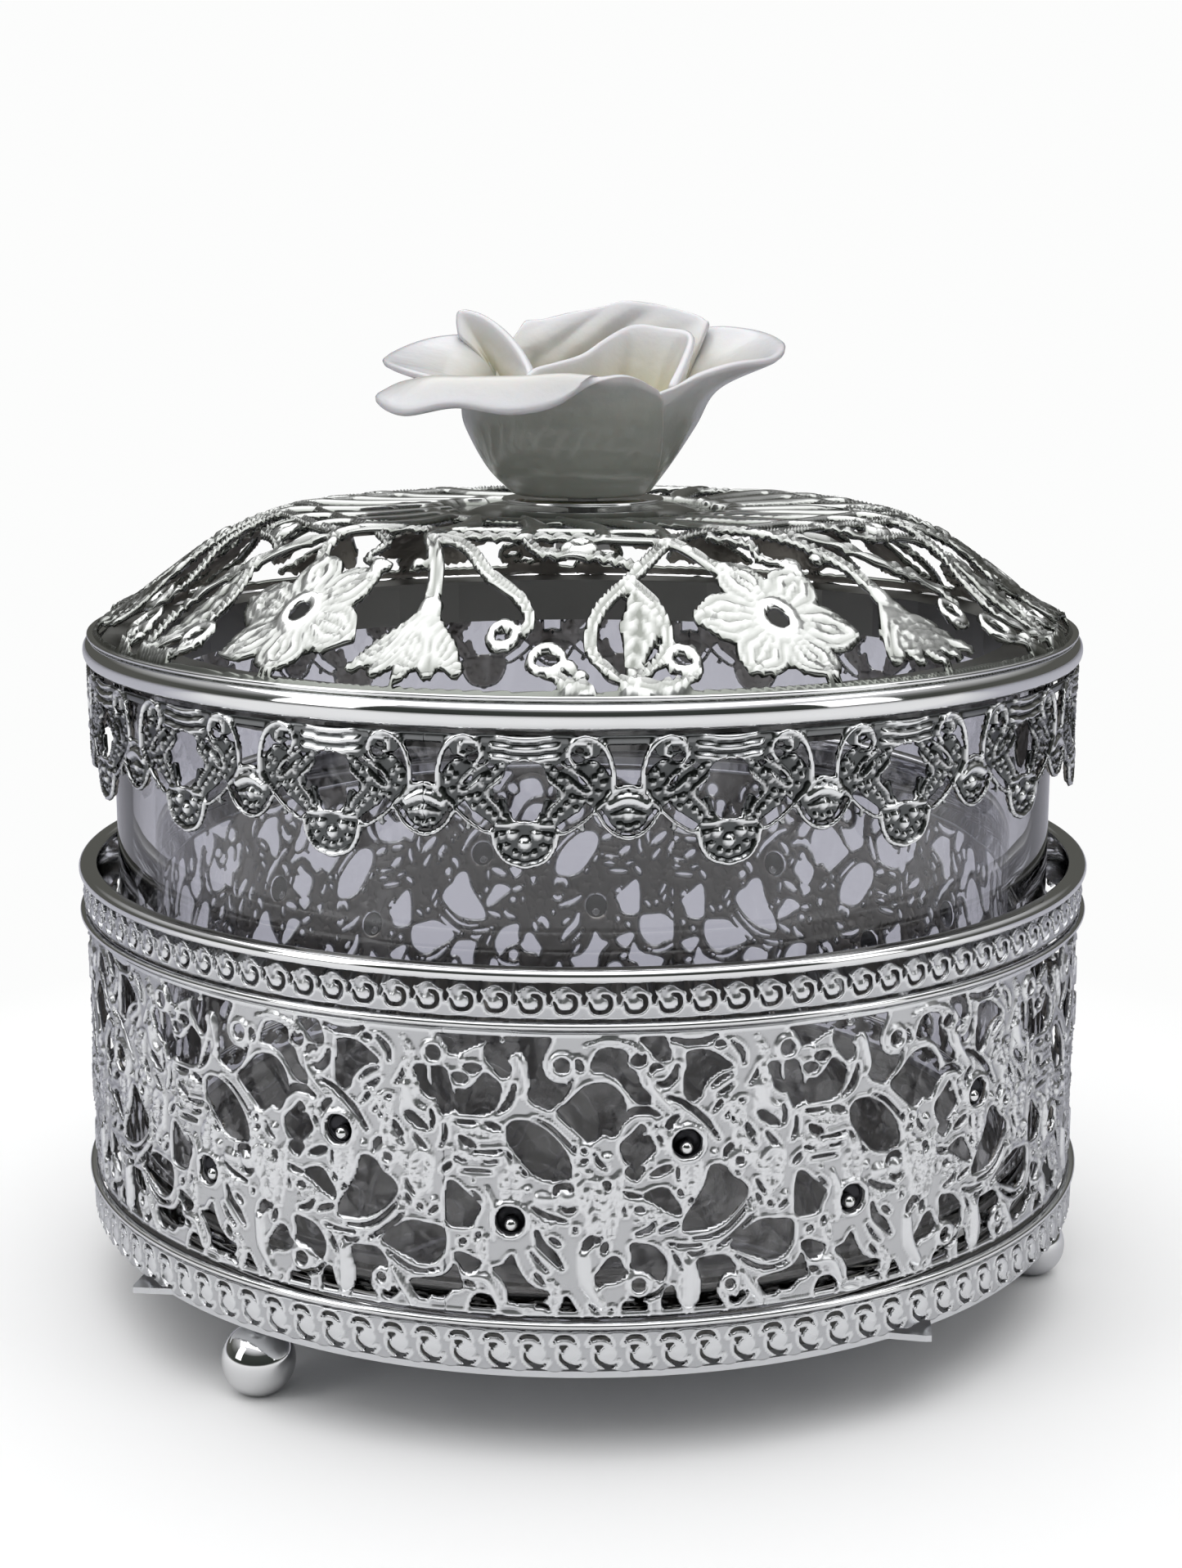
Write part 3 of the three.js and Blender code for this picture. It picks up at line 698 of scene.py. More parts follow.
# openings between the scrolls
for outline in [
    [(4.0, 25.5), (8.6, 25.6), (8.4, 24.9), (7.2, 24.4), (6.3, 23.9), (5.3, 23.6), (4.9, 24.3),
     (4.4, 25.0)],
    [(1.85, 22.0), (2.3, 22.4), (3.0, 22.2), (3.05, 21.2), (3.6, 20.3), (3.9, 19.6), (3.3, 19.6),
     (2.5, 20.2), (1.95, 21.1)],
    [(3.5, 22.1), (4.7, 22.2), (5.1, 21.2), (5.5, 19.8), (5.8, 20.4), (6.7, 20.4), (7.6, 21.2),
     (8.2, 22.0), (9.0, 21.6), (9.7, 20.8), (9.4, 19.4), (8.9, 18.6), (7.4, 18.2), (6.0, 18.3),
     (5.5, 18.6), (4.6, 18.1), (4.2, 18.6), (3.8, 19.8)],
    [(6.4, 22.5), (7.2, 22.8), (8.0, 22.5), (7.5, 22.0), (6.8, 22.0)],
    [(5.3, 21.7), (6.0, 21.9), (6.8, 21.6), (6.3, 21.0), (5.7, 21.1)],
    [(9.0, 25.5), (11.4, 25.5), (13.9, 25.4), (13.9, 24.7), (13.5, 23.9), (13.3, 22.9), (13.6, 21.9),
     (14.4, 21.3), (15.6, 21.1), (15.0, 20.2), (14.1, 19.0), (13.2, 19.2), (12.2, 19.9), (12.2, 21.8),
     (12.1, 23.0), (11.6, 24.0), (10.7, 23.9), (10.3, 23.2), (10.6, 22.6), (10.4, 21.9), (9.8, 21.7),
     (9.2, 22.3), (8.4, 23.4), (8.3, 24.2)],
    [(18.0, 23.9), (18.8, 24.4), (20.0, 24.3), (20.7, 23.9), (20.7, 22.8), (21.4, 22.3), (21.9, 21.0),
     (22.6, 20.2), (22.6, 19.3), (21.6, 19.5), (20.7, 20.6), (20.0, 21.5), (18.9, 22.2), (17.6, 22.5)],
    [(21.0, 23.2), (21.6, 23.9), (22.3, 23.7), (22.2, 23.0), (21.5, 22.8)],
    [(14.6, 18.7), (15.6, 19.6), (16.4, 20.4), (17.3, 21.1), (18.6, 21.3), (19.6, 20.9), (20.3, 20.0),
     (20.6, 18.8), (20.2, 17.4), (19.5, 16.5), (18.6, 16.7), (17.6, 16.1), (16.4, 17.0), (15.5, 17.9)],
    [(10.3, 17.3), (11.0, 17.8), (12.4, 17.7), (13.8, 16.9), (15.0, 15.6), (15.7, 14.2), (15.7, 12.8),
     (14.4, 12.5), (13.0, 12.8), (12.0, 13.6), (11.2, 14.6), (10.5, 15.6), (10.2, 16.5)],
    [(6.0, 16.2), (6.8, 16.0), (7.5, 15.3), (6.8, 15.3), (6.2, 15.6)],
    [(26.0, 23.8), (27.8, 23.9), (29.3, 23.0), (30.0, 22.3), (29.0, 22.0), (28.0, 21.4), (27.4, 20.6),
     (27.2, 19.9), (26.4, 19.4), (25.8, 20.0), (25.7, 21.4), (26.0, 22.6)],
    [(21.8, 25.2), (22.9, 25.4), (23.9, 25.3), (24.4, 24.2), (24.5, 23.4), (23.6, 23.1), (22.9, 23.9),
     (22.3, 24.6)],
    [(22.0, 17.5), (21.2, 16.7), (20.2, 15.8), (20.3, 14.8), (21.0, 13.8), (21.8, 13.9), (22.8, 14.8),
     (23.2, 15.3), (22.7, 16.4)],
    [(-1.4, 6.0), (-0.2, 7.2), (1.4, 8.0), (3.0, 7.9), (4.4, 7.6), (4.6, 6.2), (4.2, 5.1), (3.2, 4.3),
     (2.2, 4.2), (1.2, 4.7), (-0.2, 5.2)],
    [(1.3, 2.5), (2.4, 2.8), (3.8, 3.0), (4.8, 3.5), (5.5, 4.4), (5.9, 3.2), (6.1, 2.3), (5.0, 1.9),
     (4.8, 1.6), (4.2, 1.2), (3.2, 1.3), (2.8, 0.9), (2.0, 1.1), (1.5, 1.8)],
    [(5.4, 5.3), (6.0, 5.5), (7.0, 5.2), (7.8, 4.7), (7.2, 4.0), (6.4, 3.8), (5.8, 4.4)],
    [(5.0, 12.0), (5.6, 11.9), (6.4, 11.2), (7.4, 10.4), (7.8, 9.8), (7.4, 9.0), (7.0, 8.1), (5.8, 7.9),
     (4.8, 8.2), (4.7, 9.4), (4.7, 10.8)],
    [(8.9, 4.2), (9.8, 4.6), (10.6, 5.6), (10.9, 4.8), (11.6, 3.5), (12.6, 2.6), (13.8, 2.2), (13.2, 1.2),
     (11.8, 1.1), (10.4, 1.2), (10.2, 2.3), (9.7, 3.3)],
    [(7.2, 1.6), (8.2, 1.8), (9.0, 1.2), (8.8, 0.2), (6.9, 0.2)],
    [(15.4, 1.9), (16.1, 0.9), (16.6, 0.2), (15.6, 0.1), (14.7, 0.2), (15.0, 0.9)],
    [(19.2, 5.4), (20.0, 5.4), (20.4, 4.5), (20.8, 4.1), (20.0, 3.3), (18.8, 3.1), (18.0, 2.6),
     (17.8, 3.4), (18.5, 4.5)],
    [(21.1, 6.6), (22.1, 6.6), (23.3, 6.2), (24.1, 5.2), (24.3, 4.2), (23.9, 3.2), (23.4, 3.3),
     (22.8, 3.9), (22.0, 4.2), (21.1, 4.5), (21.2, 5.4)],
    [(20.5, 1.2), (21.4, 1.3), (22.4, 1.2), (22.5, 0.2), (21.4, 0.1), (20.4, 0.2)],
    [(24.0, 2.1), (24.8, 2.6), (25.1, 1.8), (25.4, 0.9), (25.9, 0.2), (24.8, 0.1), (24.0, 0.2)],
    [(27.0, 4.8), (28.2, 5.1), (29.5, 5.1), (30.3, 4.3), (30.5, 3.5), (29.4, 3.2), (28.9, 2.4),
     (28.9, 1.4), (29.5, 0.6), (29.4, 0.2), (26.8, 0.2), (27.3, 1.2), (27.4, 3.0)],
    [(28.2, 13.4), (29.4, 13.3), (30.2, 12.3), (31.2, 11.6), (31.6, 10.6), (30.6, 9.2), (29.4, 8.3),
     (28.0, 7.8), (26.4, 7.6), (25.7, 7.8), (25.9, 8.8), (26.7, 10.1), (27.6, 11.6)],
    [(22.2, 11.0), (23.2, 11.6), (24.2, 11.6), (24.8, 10.8), (25.4, 9.9), (25.4, 9.2), (24.4, 9.5),
     (23.2, 10.3)],
    [(20.6, 13.2), (21.4, 12.5), (21.9, 12.9), (22.2, 13.6), (21.2, 13.9)],
]:
    die.opening(outline)

# slits beside the ribs and through the leaves, with the width of each
for width, points in [
    (0.5, [(10.9, 21.1), (10.7, 20.2), (10.2, 19.2), (9.4, 18.5)]),
    (0.35, [(16.0, 21.7), (15.2, 20.3), (14.4, 19.3)]), (0.6, [(16.4, 23.3), (16.7, 22.5)]),
    (0.28, [(12.6, 18.1), (13.9, 17.4), (15.2, 16.2), (16.0, 15.3)]),
    (0.26, [(14.8, 18.4), (16.0, 17.4), (17.4, 16.0)]), (0.8, [(16.3, 15.4), (16.8, 15.2)]),
    (0.3, [(16.5, 13.9), (17.2, 14.5)]), (0.28, [(17.9, 15.0), (18.2, 14.2), (18.9, 13.6)]),
    (0.7, [(1.0, 18.1), (1.9, 17.4), (3.0, 16.7)]), (0.4, [(1.8, 16.1), (2.6, 15.1), (3.2, 14.3)]),
    (0.35, [(-1.6, 18.3), (-1.0, 19.0), (-0.3, 19.3)]), (0.5, [(-1.3, 17.6), (-0.2, 16.9), (0.7, 16.0)]),
    (0.3, [(4.7, 17.2), (4.7, 16.2), (4.3, 15.2)]), (0.3, [(3.4, 18.4), (3.6, 17.5), (3.4, 16.7)]),
    (0.35, [(5.6, 17.6), (6.6, 17.5), (7.6, 17.6)]), (0.5, [(8.3, 17.5), (9.6, 17.1)]),
    (0.3, [(6.8, 14.8), (8.2, 14.8), (9.8, 15.1)]), (0.35, [(5.6, 14.2), (7.2, 14.0), (9.4, 14.1)]),
    (0.3, [(6.2, 13.1), (8.8, 13.1)]), (0.4, [(4.5, 13.0), (5.2, 13.7)]),
    (0.35, [(10.2, 15.0), (10.9, 14.0), (11.9, 13.0)]),
    (0.5, [(24.6, 25.1), (26.2, 24.7), (27.6, 24.8), (28.6, 25.2)]), (0.5, [(28.6, 24.5), (29.3, 24.4)]),
    (0.35, [(30.0, 24.6), (30.9, 23.6), (31.1, 22.6)]),
    (0.6, [(23.3, 21.2), (24.1, 21.1), (24.8, 21.8), (25.1, 22.7)]),
    (0.4, [(22.7, 22.2), (23.1, 22.7), (23.8, 22.7)]), (0.28, [(28.2, 20.7), (29.0, 21.3), (30.0, 21.8)]),
    (0.3, [(28.7, 19.9), (29.5, 20.3), (30.1, 20.8)]), (0.26, [(28.3, 18.4), (29.0, 19.2), (29.5, 19.8)]),
    (0.3, [(29.5, 17.9), (30.5, 18.5)]),
    (0.45, [(24.2, 20.0), (25.6, 19.4), (26.6, 18.6), (27.7, 17.6), (28.8, 16.0)]),
    (0.6, [(20.4, 17.9), (21.2, 18.7), (22.4, 18.8), (23.5, 18.3)]),
    (0.26, [(23.2, 17.4), (23.5, 16.4), (23.9, 15.6)]), (0.5, [(24.2, 16.6), (24.5, 17.6), (25.2, 18.2)]),
    (0.5, [(29.4, 14.2), (29.8, 15.0), (30.7, 15.3)]), (0.35, [(30.6, 16.3), (31.6, 15.9), (32.3, 15.1)]),
    (0.7, [(30.6, 12.7), (30.9, 13.6), (31.6, 13.9)]),
    (0.3, [(-0.9, 5.0), (0.0, 4.4), (1.2, 3.7), (2.6, 3.5), (4.0, 3.9)]), (0.4, [(6.0, 6.5), (6.4, 6.7)]),
    (0.35, [(7.4, 6.9), (7.7, 7.5)]), (0.35, [(9.7, 0.5), (11.4, 0.4)]),
    (0.7, [(12.8, 7.8), (13.2, 6.6), (14.2, 5.6), (15.0, 4.6)]),
    (0.26, [(12.3, 5.9), (13.0, 4.9), (13.8, 4.2)]), (0.4, [(12.7, 3.9), (13.5, 2.9)]),
    (0.4, [(14.0, 7.2), (14.8, 6.7)]), (0.4, [(12.4, 10.0), (13.6, 9.3), (15.4, 8.8)]),
    (0.5, [(14.3, 11.2), (14.7, 11.9), (15.6, 12.0), (16.2, 11.3)]),
    (0.4, [(14.8, 10.1), (15.6, 9.7), (16.3, 10.1)]), (0.35, [(7.1, 11.2), (7.9, 10.4)]),
    (0.5, [(1.0, 11.8), (1.6, 11.0), (1.9, 10.6)]), (0.3, [(1.0, 10.5), (1.4, 9.7)]),
    (0.4, [(2.2, 9.6), (2.4, 9.4)]), (0.3, [(3.2, 9.0), (3.9, 9.6)]), (0.3, [(2.4, 11.8), (3.0, 11.2)]),
    (0.8, [(18.0, 11.2), (18.7, 11.9), (19.2, 12.2)]), (0.4, [(17.1, 9.9), (17.7, 10.6)]),
    (0.5, [(17.5, 8.4), (18.0, 9.2), (18.7, 9.8)]), (0.7, [(16.9, 6.1), (17.4, 6.9), (18.0, 7.4)]),
    (0.35, [(18.0, 6.8), (18.5, 7.3)]), (0.5, [(18.6, 5.9), (18.9, 6.8)]),
    (0.3, [(16.1, 7.9), (16.3, 8.2)]), (0.35, [(21.0, 1.75), (22.0, 1.6), (23.4, 2.0), (24.2, 2.8)]),
    (0.9, [(29.8, 2.5), (30.1, 2.6)]), (0.4, [(30.1, 1.0), (30.7, 0.8), (31.2, 1.6)]),
    (0.26, [(31.9, 10.2), (31.0, 8.9), (29.6, 7.6), (28.2, 7.0), (26.6, 6.9)]),
    (0.26, [(24.3, 6.6), (26.0, 6.2), (27.4, 6.3)]),
    (0.4, [(28.9, 6.0), (30.2, 6.8), (31.4, 7.8), (32.2, 8.7)]),
    (0.4, [(20.4, 11.4), (21.2, 11.1), (21.9, 11.0)]), (0.45, [(21.5, 9.8), (22.2, 9.8)]),
    (0.3, [(19.7, 11.2), (20.2, 10.3), (20.6, 9.4)]), (0.4, [(21.6, 7.6), (22.6, 7.9), (23.2, 8.6)]),
    (0.4, [(23.6, 7.8), (24.4, 8.1), (25.2, 8.4)]), (0.6, [(22.9, 12.9), (23.8, 13.3), (24.6, 13.6)]),
    (0.26, [(25.2, 13.5), (25.3, 12.4)]), (0.5, [(25.4, 11.2), (25.6, 11.2)]),
    (0.35, [(27.0, 11.3), (27.3, 11.9)]), (0.4, [(26.3, 10.5), (26.5, 10.3)]),
    (0.26, [(24.8, 5.8), (25.2, 5.0), (25.6, 4.2)]), (0.35, [(26.2, 5.6), (27.0, 5.4), (27.8, 5.7)]),
    (0.5, [(25.9, 3.2), (26.0, 3.0)]), (0.3, [(17.5, 1.1), (18.2, 0.4), (19.0, 0.3), (19.4, 0.7)]),
    (0.5, [(6.3, 2.9), (7.2, 2.5)]), (0.35, [(12.6, 0.9), (13.4, 1.0), (13.9, 0.6)]),
    (0.3, [(0.3, 1.6), (-0.6, 0.9), (-1.4, 1.2)]), (0.3, [(0.2, 20.6), (0.9, 21.6), (1.3, 22.6)]),
]:
    die.slot(points, [0.4 * width, width, width, 0.4 * width])
die.pillow(0.16, 0.25)
die.edge_bead(0.28, 0.36)

# leaves with veins, between the openings
for points, widths in [
    ([(10.6, 10.8), (10.6, 12.2), (10.9, 14.4)], [2.0, 2.6, 0.4]),
    ([(6.4, 16.6), (8.0, 16.5), (10.0, 16.4)], [0.8, 1.5, 0.5]),
    ([(5.0, 15.3), (7.0, 14.4), (9.6, 14.6)], [0.5, 1.0, 0.4]),
    ([(16.6, 13.4), (17.4, 11.6), (18.2, 8.2)], [1.4, 2.8, 1.6]),
    ([(20.0, 13.0), (19.6, 10.4), (19.4, 7.6)], [0.8, 1.7, 0.8]),
    ([(26.4, 13.6), (26.4, 12.0), (26.2, 10.6)], [2.2, 2.2, 0.4]),
    ([(2.6, 13.6), (2.4, 12.0), (2.2, 10.4)], [2.6, 2.4, 0.4]),
    ([(30.4, 17.0), (31.4, 14.6), (33.4, 12.4)], [1.0, 2.0, 0.6]),
    ([(22.2, 16.6), (23.9, 16.8), (24.2, 15.0)], [0.3, 0.9, 0.3]),
    ([(21.4, 8.6), (22.6, 9.2), (24.2, 9.0)], [0.3, 1.1, 0.3]),
    ([(12.4, 8.6), (13.4, 8.4), (14.6, 8.2)], [0.4, 1.0, 0.3]),
    ([(8.4, 7.2), (7.9, 6.2), (8.4, 4.8)], [0.5, 1.2, 0.5]),
    ([(29.2, 19.6), (30.6, 18.4), (31.0, 16.6)], [0.4, 1.5, 0.5]),
    ([(13.4, 3.6), (14.4, 2.6), (14.6, 1.0)], [0.5, 1.0, 0.5]),
    ([(0.8, 24.9), (1.4, 23.8), (2.0, 22.9)], [0.4, 1.0, 0.4]),
    ([(32.4, 18.6), (33.0, 20.4), (32.8, 22.6)], [1.0, 1.8, 0.6]),
]:
    die.line(points, widths, 0.52, "leaf")

# smooth lobes and stems that stand up from the sheet
for points, widths in [
    ([(16.9, 5.6), (17.2, 3.2), (18.4, 1.2)], [1.2, 1.6, 1.0]),
    ([(26.2, 4.6), (26.4, 2.6), (26.3, 1.0)], [1.0, 1.5, 1.2]),
    ([(1.2, 20.4), (1.8, 18.8), (3.0, 18.2)], [1.4, 1.4, 0.5]),
    ([(22.6, 21.9), (23.2, 20.4), (24.8, 18.6)], [0.5, 1.0, 0.4]),
    ([(6.9, 3.4), (8.4, 3.2), (9.4, 1.2)], [0.9, 1.1, 0.8]),
    ([(11.6, 20.0), (12.0, 21.2), (11.4, 23.4)], [0.5, 0.7, 0.6]),
    ([(8.4, 11.6), (9.2, 9.4), (9.0, 7.0)], [0.5, 0.9, 0.5]),
    ([(31.2, 3.4), (32.0, 2.0), (33.0, 0.4)], [0.6, 0.8, 0.6]), ([(13.2, 10.8), (13.9, 10.8)], [1.5, 1.3]),
    ([(17.0, 24.6), (19.0, 25.2), (21.0, 24.7), (22.0, 23.9)], [0.3, 0.5, 0.5, 0.4]),
]:
    die.line(points, widths, 0.55, "round")

# small rings and beads, and the settings of the balls
for x, y, radius in [
    (3.7, 23.6, 0.95), (15.05, 22.9, 0.95), (-0.65, 13.8, 0.7), (21.8, 2.9, 0.9), (30.0, 2.5, 0.7),
    (17.0, 15.3, 0.5),
]:
    die.ring(x, y, radius, 0.6, 0.52)
for x, y, radius in [
    (15.45, 10.9, 0.75), (6.2, 23.2, 0.4), (24.9, 17.0, 0.4), (7.2, 12.2, 0.35), (3.6, 10.2, 0.4),
    (23.0, 14.2, 0.3), (12.0, 11.6, 0.45), (19.0, 14.6, 0.5), (8.2, 5.9, 0.3), (28.4, 14.6, 0.4),
    (0.4, 9.0, 0.4), (9.9, 25.0, 0.3),
]:
    die.bead(x, y, radius, 0.6)
SETTINGS, SETTING_RADIUS = [(26.0, 15.65), (10.45, 8.8)], 1.35
for x, y in SETTINGS:
    die.ring(x, y, SETTING_RADIUS + 0.25, 0.55, 0.62)
die.line([(-1, wall_height - 0.25), (repeat_width + 1, wall_height - 0.25)], [0.6, 0.6], 0.3, "flat")
die.line([(-1, 0.2), (repeat_width + 1, 0.2)], [0.5, 0.5], 0.3, "flat")
FIRST_ANGLE, WALL_RELIEF = -18.7 - 5 * REPEAT_ANGLE, 0.62
# the low places of the wall's relief are painted darker, as painted shade in the recesses
wall_plate = plated("wall_plate", (0.83, 0.84, 0.855), 0.27, recess_shade=(0.40, 0.40, 0.41), rise=(0.02, 0.5))
rolled_sheet("wall_openwork", die, 360 / REPEAT_ANGLE, high[0] - WALL_RELIEF, low[2], step, FIRST_ANGLE,
             0.45, wall_plate, "basket", "plated_basket", ["basket_wall"], parts=4)

# bowls behind the settings, painted near black as painted shade in the cups, each with a small ball soldered
# low in it
shade_black = plated("shade_black", (0.045, 0.045, 0.05), 0.25)
BALL, BOWL, BOWL_INSIDE = (0.68, 0.68), (1.42, 0.75), (1.3, 0.6)
ball = np.vstack([[0, -BALL[1]], arc((0, 0), BALL, -80, 80, 9), [0, BALL[1]]])
ball_points, ball_faces = turned(ball, 14)
bowl = np.vstack([
    [0, -BOWL[1]], arc((0, 0), BOWL, -75, 0, 7), arc((0, 0), BOWL_INSIDE, 0, -75, 7), [0, -BOWL_INSIDE[1]],
])
bowl_points, bowl_faces = turned(bowl, 20)
bowls, balls = [], []
for number in range(10):
    for x, y in SETTINGS:
        turn = math.radians(FIRST_ANGLE + REPEAT_ANGLE * (number + x / repeat_width))
        outward = np.array([math.sin(turn), -math.cos(turn), 0])
        along, up = np.array([math.cos(turn), math.sin(turn), 0]), np.array([0, 0, 1.0])
        for pieces, shape, drop, depth in ((bowls, bowl_points, 0, 0.75), (balls, ball_points, 0.5, 0.95)):
            centre = outward * (high[0] - depth) + up * (low[2] + y - drop)
            pieces.append(centre + shape[:, :1] * along + shape[:, 1:2] * up + shape[:, 2:] * outward)
for name, pieces, faces, material in [
    ("setting_bowls", bowls, bowl_faces, shade_black), ("setting_balls", balls, ball_faces, mirror_plate),
]:
    size = len(pieces[0])
    everyone = [[v + k * size for v in reversed(face)] for k in range(len(pieces)) for face in faces]
    surface(name, np.vstack(pieces), everyone, material, "basket", "plated_basket", ["basket_wall"])


# ---- Glass jar ----
# Clear pressed glass with a thick base and a fire-polished lip, ground flat underneath.
clear_glass, tree = new_material("clear_glass")
drawn = add(tree, "Mapping", "Vector", {"Vector": add(tree, "TexCoord", "Object", {}), "Scale": (1, 1, 0.18)})
wave = add(tree, "TexNoise", "Fac", {"Vector": drawn, "Scale": 60})
ripple = add(tree, "Bump", "Normal", {"Height": wave, "Strength": 0.25, "Distance": 0.2 * MM})
fill(tree, tree.nodes["Principled BSDF"], {
    "Base Color": (0.9, 0.9, 0.92, 1), "Roughness": 0, "IOR": 1.5, "Transmission Weight": 1, "Normal": ripple,
})

low, high = node_box("glass_jar")
jar_outer, jar_bottom, jar_top = high[0], low[2], high[2]
JAR_WALL, JAR_BASE, JAR_HEEL, JAR_WELL = 3.0, 4.0, 5.0, 3.5
lip_radius = JAR_WALL / 2
well = (jar_outer - JAR_WALL - JAR_WELL, jar_bottom + JAR_BASE + JAR_WELL)
section = np.vstack([
    [[0, jar_bottom]],
    arc((jar_outer - JAR_HEEL, jar_bottom + JAR_HEEL), (JAR_HEEL, JAR_HEEL), -90, 0, 16),
    arc((jar_outer - lip_radius, jar_top - lip_radius), (lip_radius, lip_radius), 0, 180, 20),
    arc(well, (JAR_WELL, JAR_WELL), 0, -90, 14),
    [[0, jar_bottom + JAR_BASE]],
])
surface("jar_glass", *turned(section, RING_STEPS), clear_glass, "jar", "clear_glass", ["glass_jar"])


# ---- Lace skirt of the lid ----
# Stamped lace soldered inside the bead: large pendants with a diamond opening, small ones between.
# the low ground of the lace is painted nearly black, as painted shade between the raised cords and beads
lace_plate = plated("lace_plate", (0.86, 0.87, 0.88), 0.14, recess_shade=(0.12, 0.125, 0.125), rise=(0.3, 0.8))
low, high = node_box("lid_skirt")
skirt_height = high[2] - low[2]
PENDANTS = 18
pendant_width = 2 * math.pi * high[0] / PENDANTS
die, step = drum_die(pendant_width, skirt_height, 0.225, False)
mid = pendant_width / 2


def both(points):
    """A list of points on the right of a pendant's middle, and the same mirrored to the left."""
    return [[(mid + x, y) for x, y in points], [(mid - x, y) for x, y in points]]


# the flat ground of the lace
for points, widths, rise in [
    ([(0, 11.2), (4.8, 11.2), (9.2, 11.2)], [0.9] * 3, 0.2),
    ([(1.0, 9.6), (3.0, 7.3), (4.2, 6.3), (2.2, 4.4)], [1.2, 2.0, 2.2, 1.6], 0.12),
    ([(4.0, 8.0), (5.6, 7.8), (6.4, 6.4)], [2.2, 3.2, 2.4], 0.12),
    ([(0, 4.4), (0, 2.4)], [5.6, 4.6], 0.12), ([(0, 2.4), (0, 0.9)], [4.2, 1.8], 0.12),
    ([(7.6, 5.6), (8.9, 5.0), (8.9, 4.0)], [2.2, 3.4, 1.4], 0.12),
    ([(4.6, 10.9), (5.6, 10.6)], [2.0, 2.0], 0.1),
]:
    for half in both(points):
        die.line(half, widths, rise, "flat")
die.line([(mid - 2.6, 10.4), (mid + 2.6, 10.4)], [2.6, 2.6], 0.1, "flat")

# cords that stand up from it
for y, reach in [(11.3, 2.3), (10.45, 2.8), (9.55, 2.8)]:
    die.line([(mid - reach, y + 0.2), (mid, y - 0.1), (mid + reach, y + 0.2)], [0.45, 0.66, 0.45], 0.55)
for points, widths, rise in [
    ([(3.9, 10.6), (4.4, 11.3), (5.5, 11.5), (6.8, 10.6), (7.5, 8.8), (7.6, 6.9)],
     [0.35, 0.45, 0.5, 0.55, 0.5, 0.4], 0.55),
    ([(4.3, 9.0), (3.7, 10.0), (4.2, 10.9), (5.3, 10.9), (5.7, 10.1), (5.1, 9.7)],
     [0.4, 0.42, 0.42, 0.42, 0.36, 0.3], 0.5),
    ([(0.9, 9.4), (1.3, 8.6), (2.3, 7.6), (3.3, 6.6), (2.2, 5.3), (1.8, 4.5), (0.6, 4.7), (0, 4.9)],
     [0.34] * 8, 0.42),
    ([(3.2, 9.2), (4.4, 8.4), (5.6, 7.2), (5.4, 6.6), (4.6, 7.0), (3.6, 8.0)], [0.34] * 6, 0.42),
    ([(7.8, 6.6), (6.4, 5.6), (5.9, 5.0), (5.0, 4.2), (3.6, 3.3), (2.9, 3.2)], [0.4] * 6, 0.42),
    ([(2.8, 3.4), (2.5, 2.0), (1.6, 0.8), (0, 0.3)], [0.5, 0.5, 0.5, 0.55], 0.5),
    ([(6.2, 4.9), (6.9, 3.8), (7.9, 3.0), (8.82, 2.8)], [0.42, 0.42, 0.42, 0.5], 0.45),
    ([(6.9, 5.9), (7.6, 6.9), (8.82, 7.2)], [0.42, 0.5, 0.55], 0.45),
    ([(7.2, 5.6), (8.2, 6.1), (8.82, 6.2)], [0.8, 1.1, 1.2], 0.55),
    ([(0, 4.4), (1.2, 4.0), (2.4, 3.9)], [0.9, 0.7, 0.4], 0.5),
]:
    for half in both(points):
        die.line(half, widths, rise)

# beads
for x, y, radius, rise in [
    (1.9, 9.0, 0.32, 0.4), (2.5, 8.5, 0.32, 0.4), (3.1, 7.9, 0.32, 0.4), (3.7, 7.3, 0.32, 0.4),
    (4.1, 6.2, 0.34, 0.42), (3.6, 5.6, 0.34, 0.42), (3.1, 5.0, 0.34, 0.42),
    (2.6, 4.5, 0.34, 0.42), (4.9, 6.1, 0.36, 0.4), (4.4, 5.3, 0.36, 0.4), (5.6, 5.9, 0.3, 0.36),
    (5.9, 9.2, 0.34, 0.4), (6.5, 8.4, 0.34, 0.4), (6.7, 7.5, 0.34, 0.4), (6.0, 7.9, 0.3, 0.36),
    (6.3, 6.7, 0.3, 0.36), (1.1, 3.1, 0.55, 0.5), (0.0, 2.3, 0.6, 0.55), (0.0, 1.2, 0.34, 0.4),
    (0.8, 1.4, 0.34, 0.4), (1.6, 2.0, 0.34, 0.4), (2.0, 2.9, 0.36, 0.4), (8.82, 4.9, 0.6, 0.5),
    (8.1, 4.8, 0.36, 0.4), (8.1, 3.9, 0.32, 0.4), (8.82, 3.7, 0.34, 0.4), (7.5, 4.7, 0.3, 0.36),
    (1.4, 11.9, 0.25, 0.3), (0.5, 11.9, 0.25, 0.3), (2.3, 11.9, 0.25, 0.3), (4.9, 3.6, 0.3, 0.36),
]:
    die.bead(mid + x, y, radius, rise)
    die.bead(mid - x, y, radius, rise)

# openings: two small ones on each side and the diamond in the middle
for points, widths in [
    ([(4.6, 8.1), (5.2, 7.4)], [0.3, 0.6, 0.4]), ([(4.5, 10.3), (4.9, 10.3)], [0.45, 0.4]),
]:
    for half in both(points):
        die.slot(half, widths)
die.slot([(mid, 8.9), (mid, 7.6), (mid, 5.6)], [1.4, 4.0, 3.0])
die.slot([(mid - 2.2, 6.8), (mid + 2.2, 6.8)], [1.1, 1.9, 1.1])
LACE_RELIEF = 0.55
die.relief = np.minimum(die.relief, LACE_RELIEF)
rolled_sheet("lace_skirt", die, PENDANTS, high[0] - LACE_RELIEF, low[2], step, -5.6 - 180 / PENDANTS, 0.4,
             lace_plate, "lid", "plated_lid", ["lid_skirt"], parts=2)
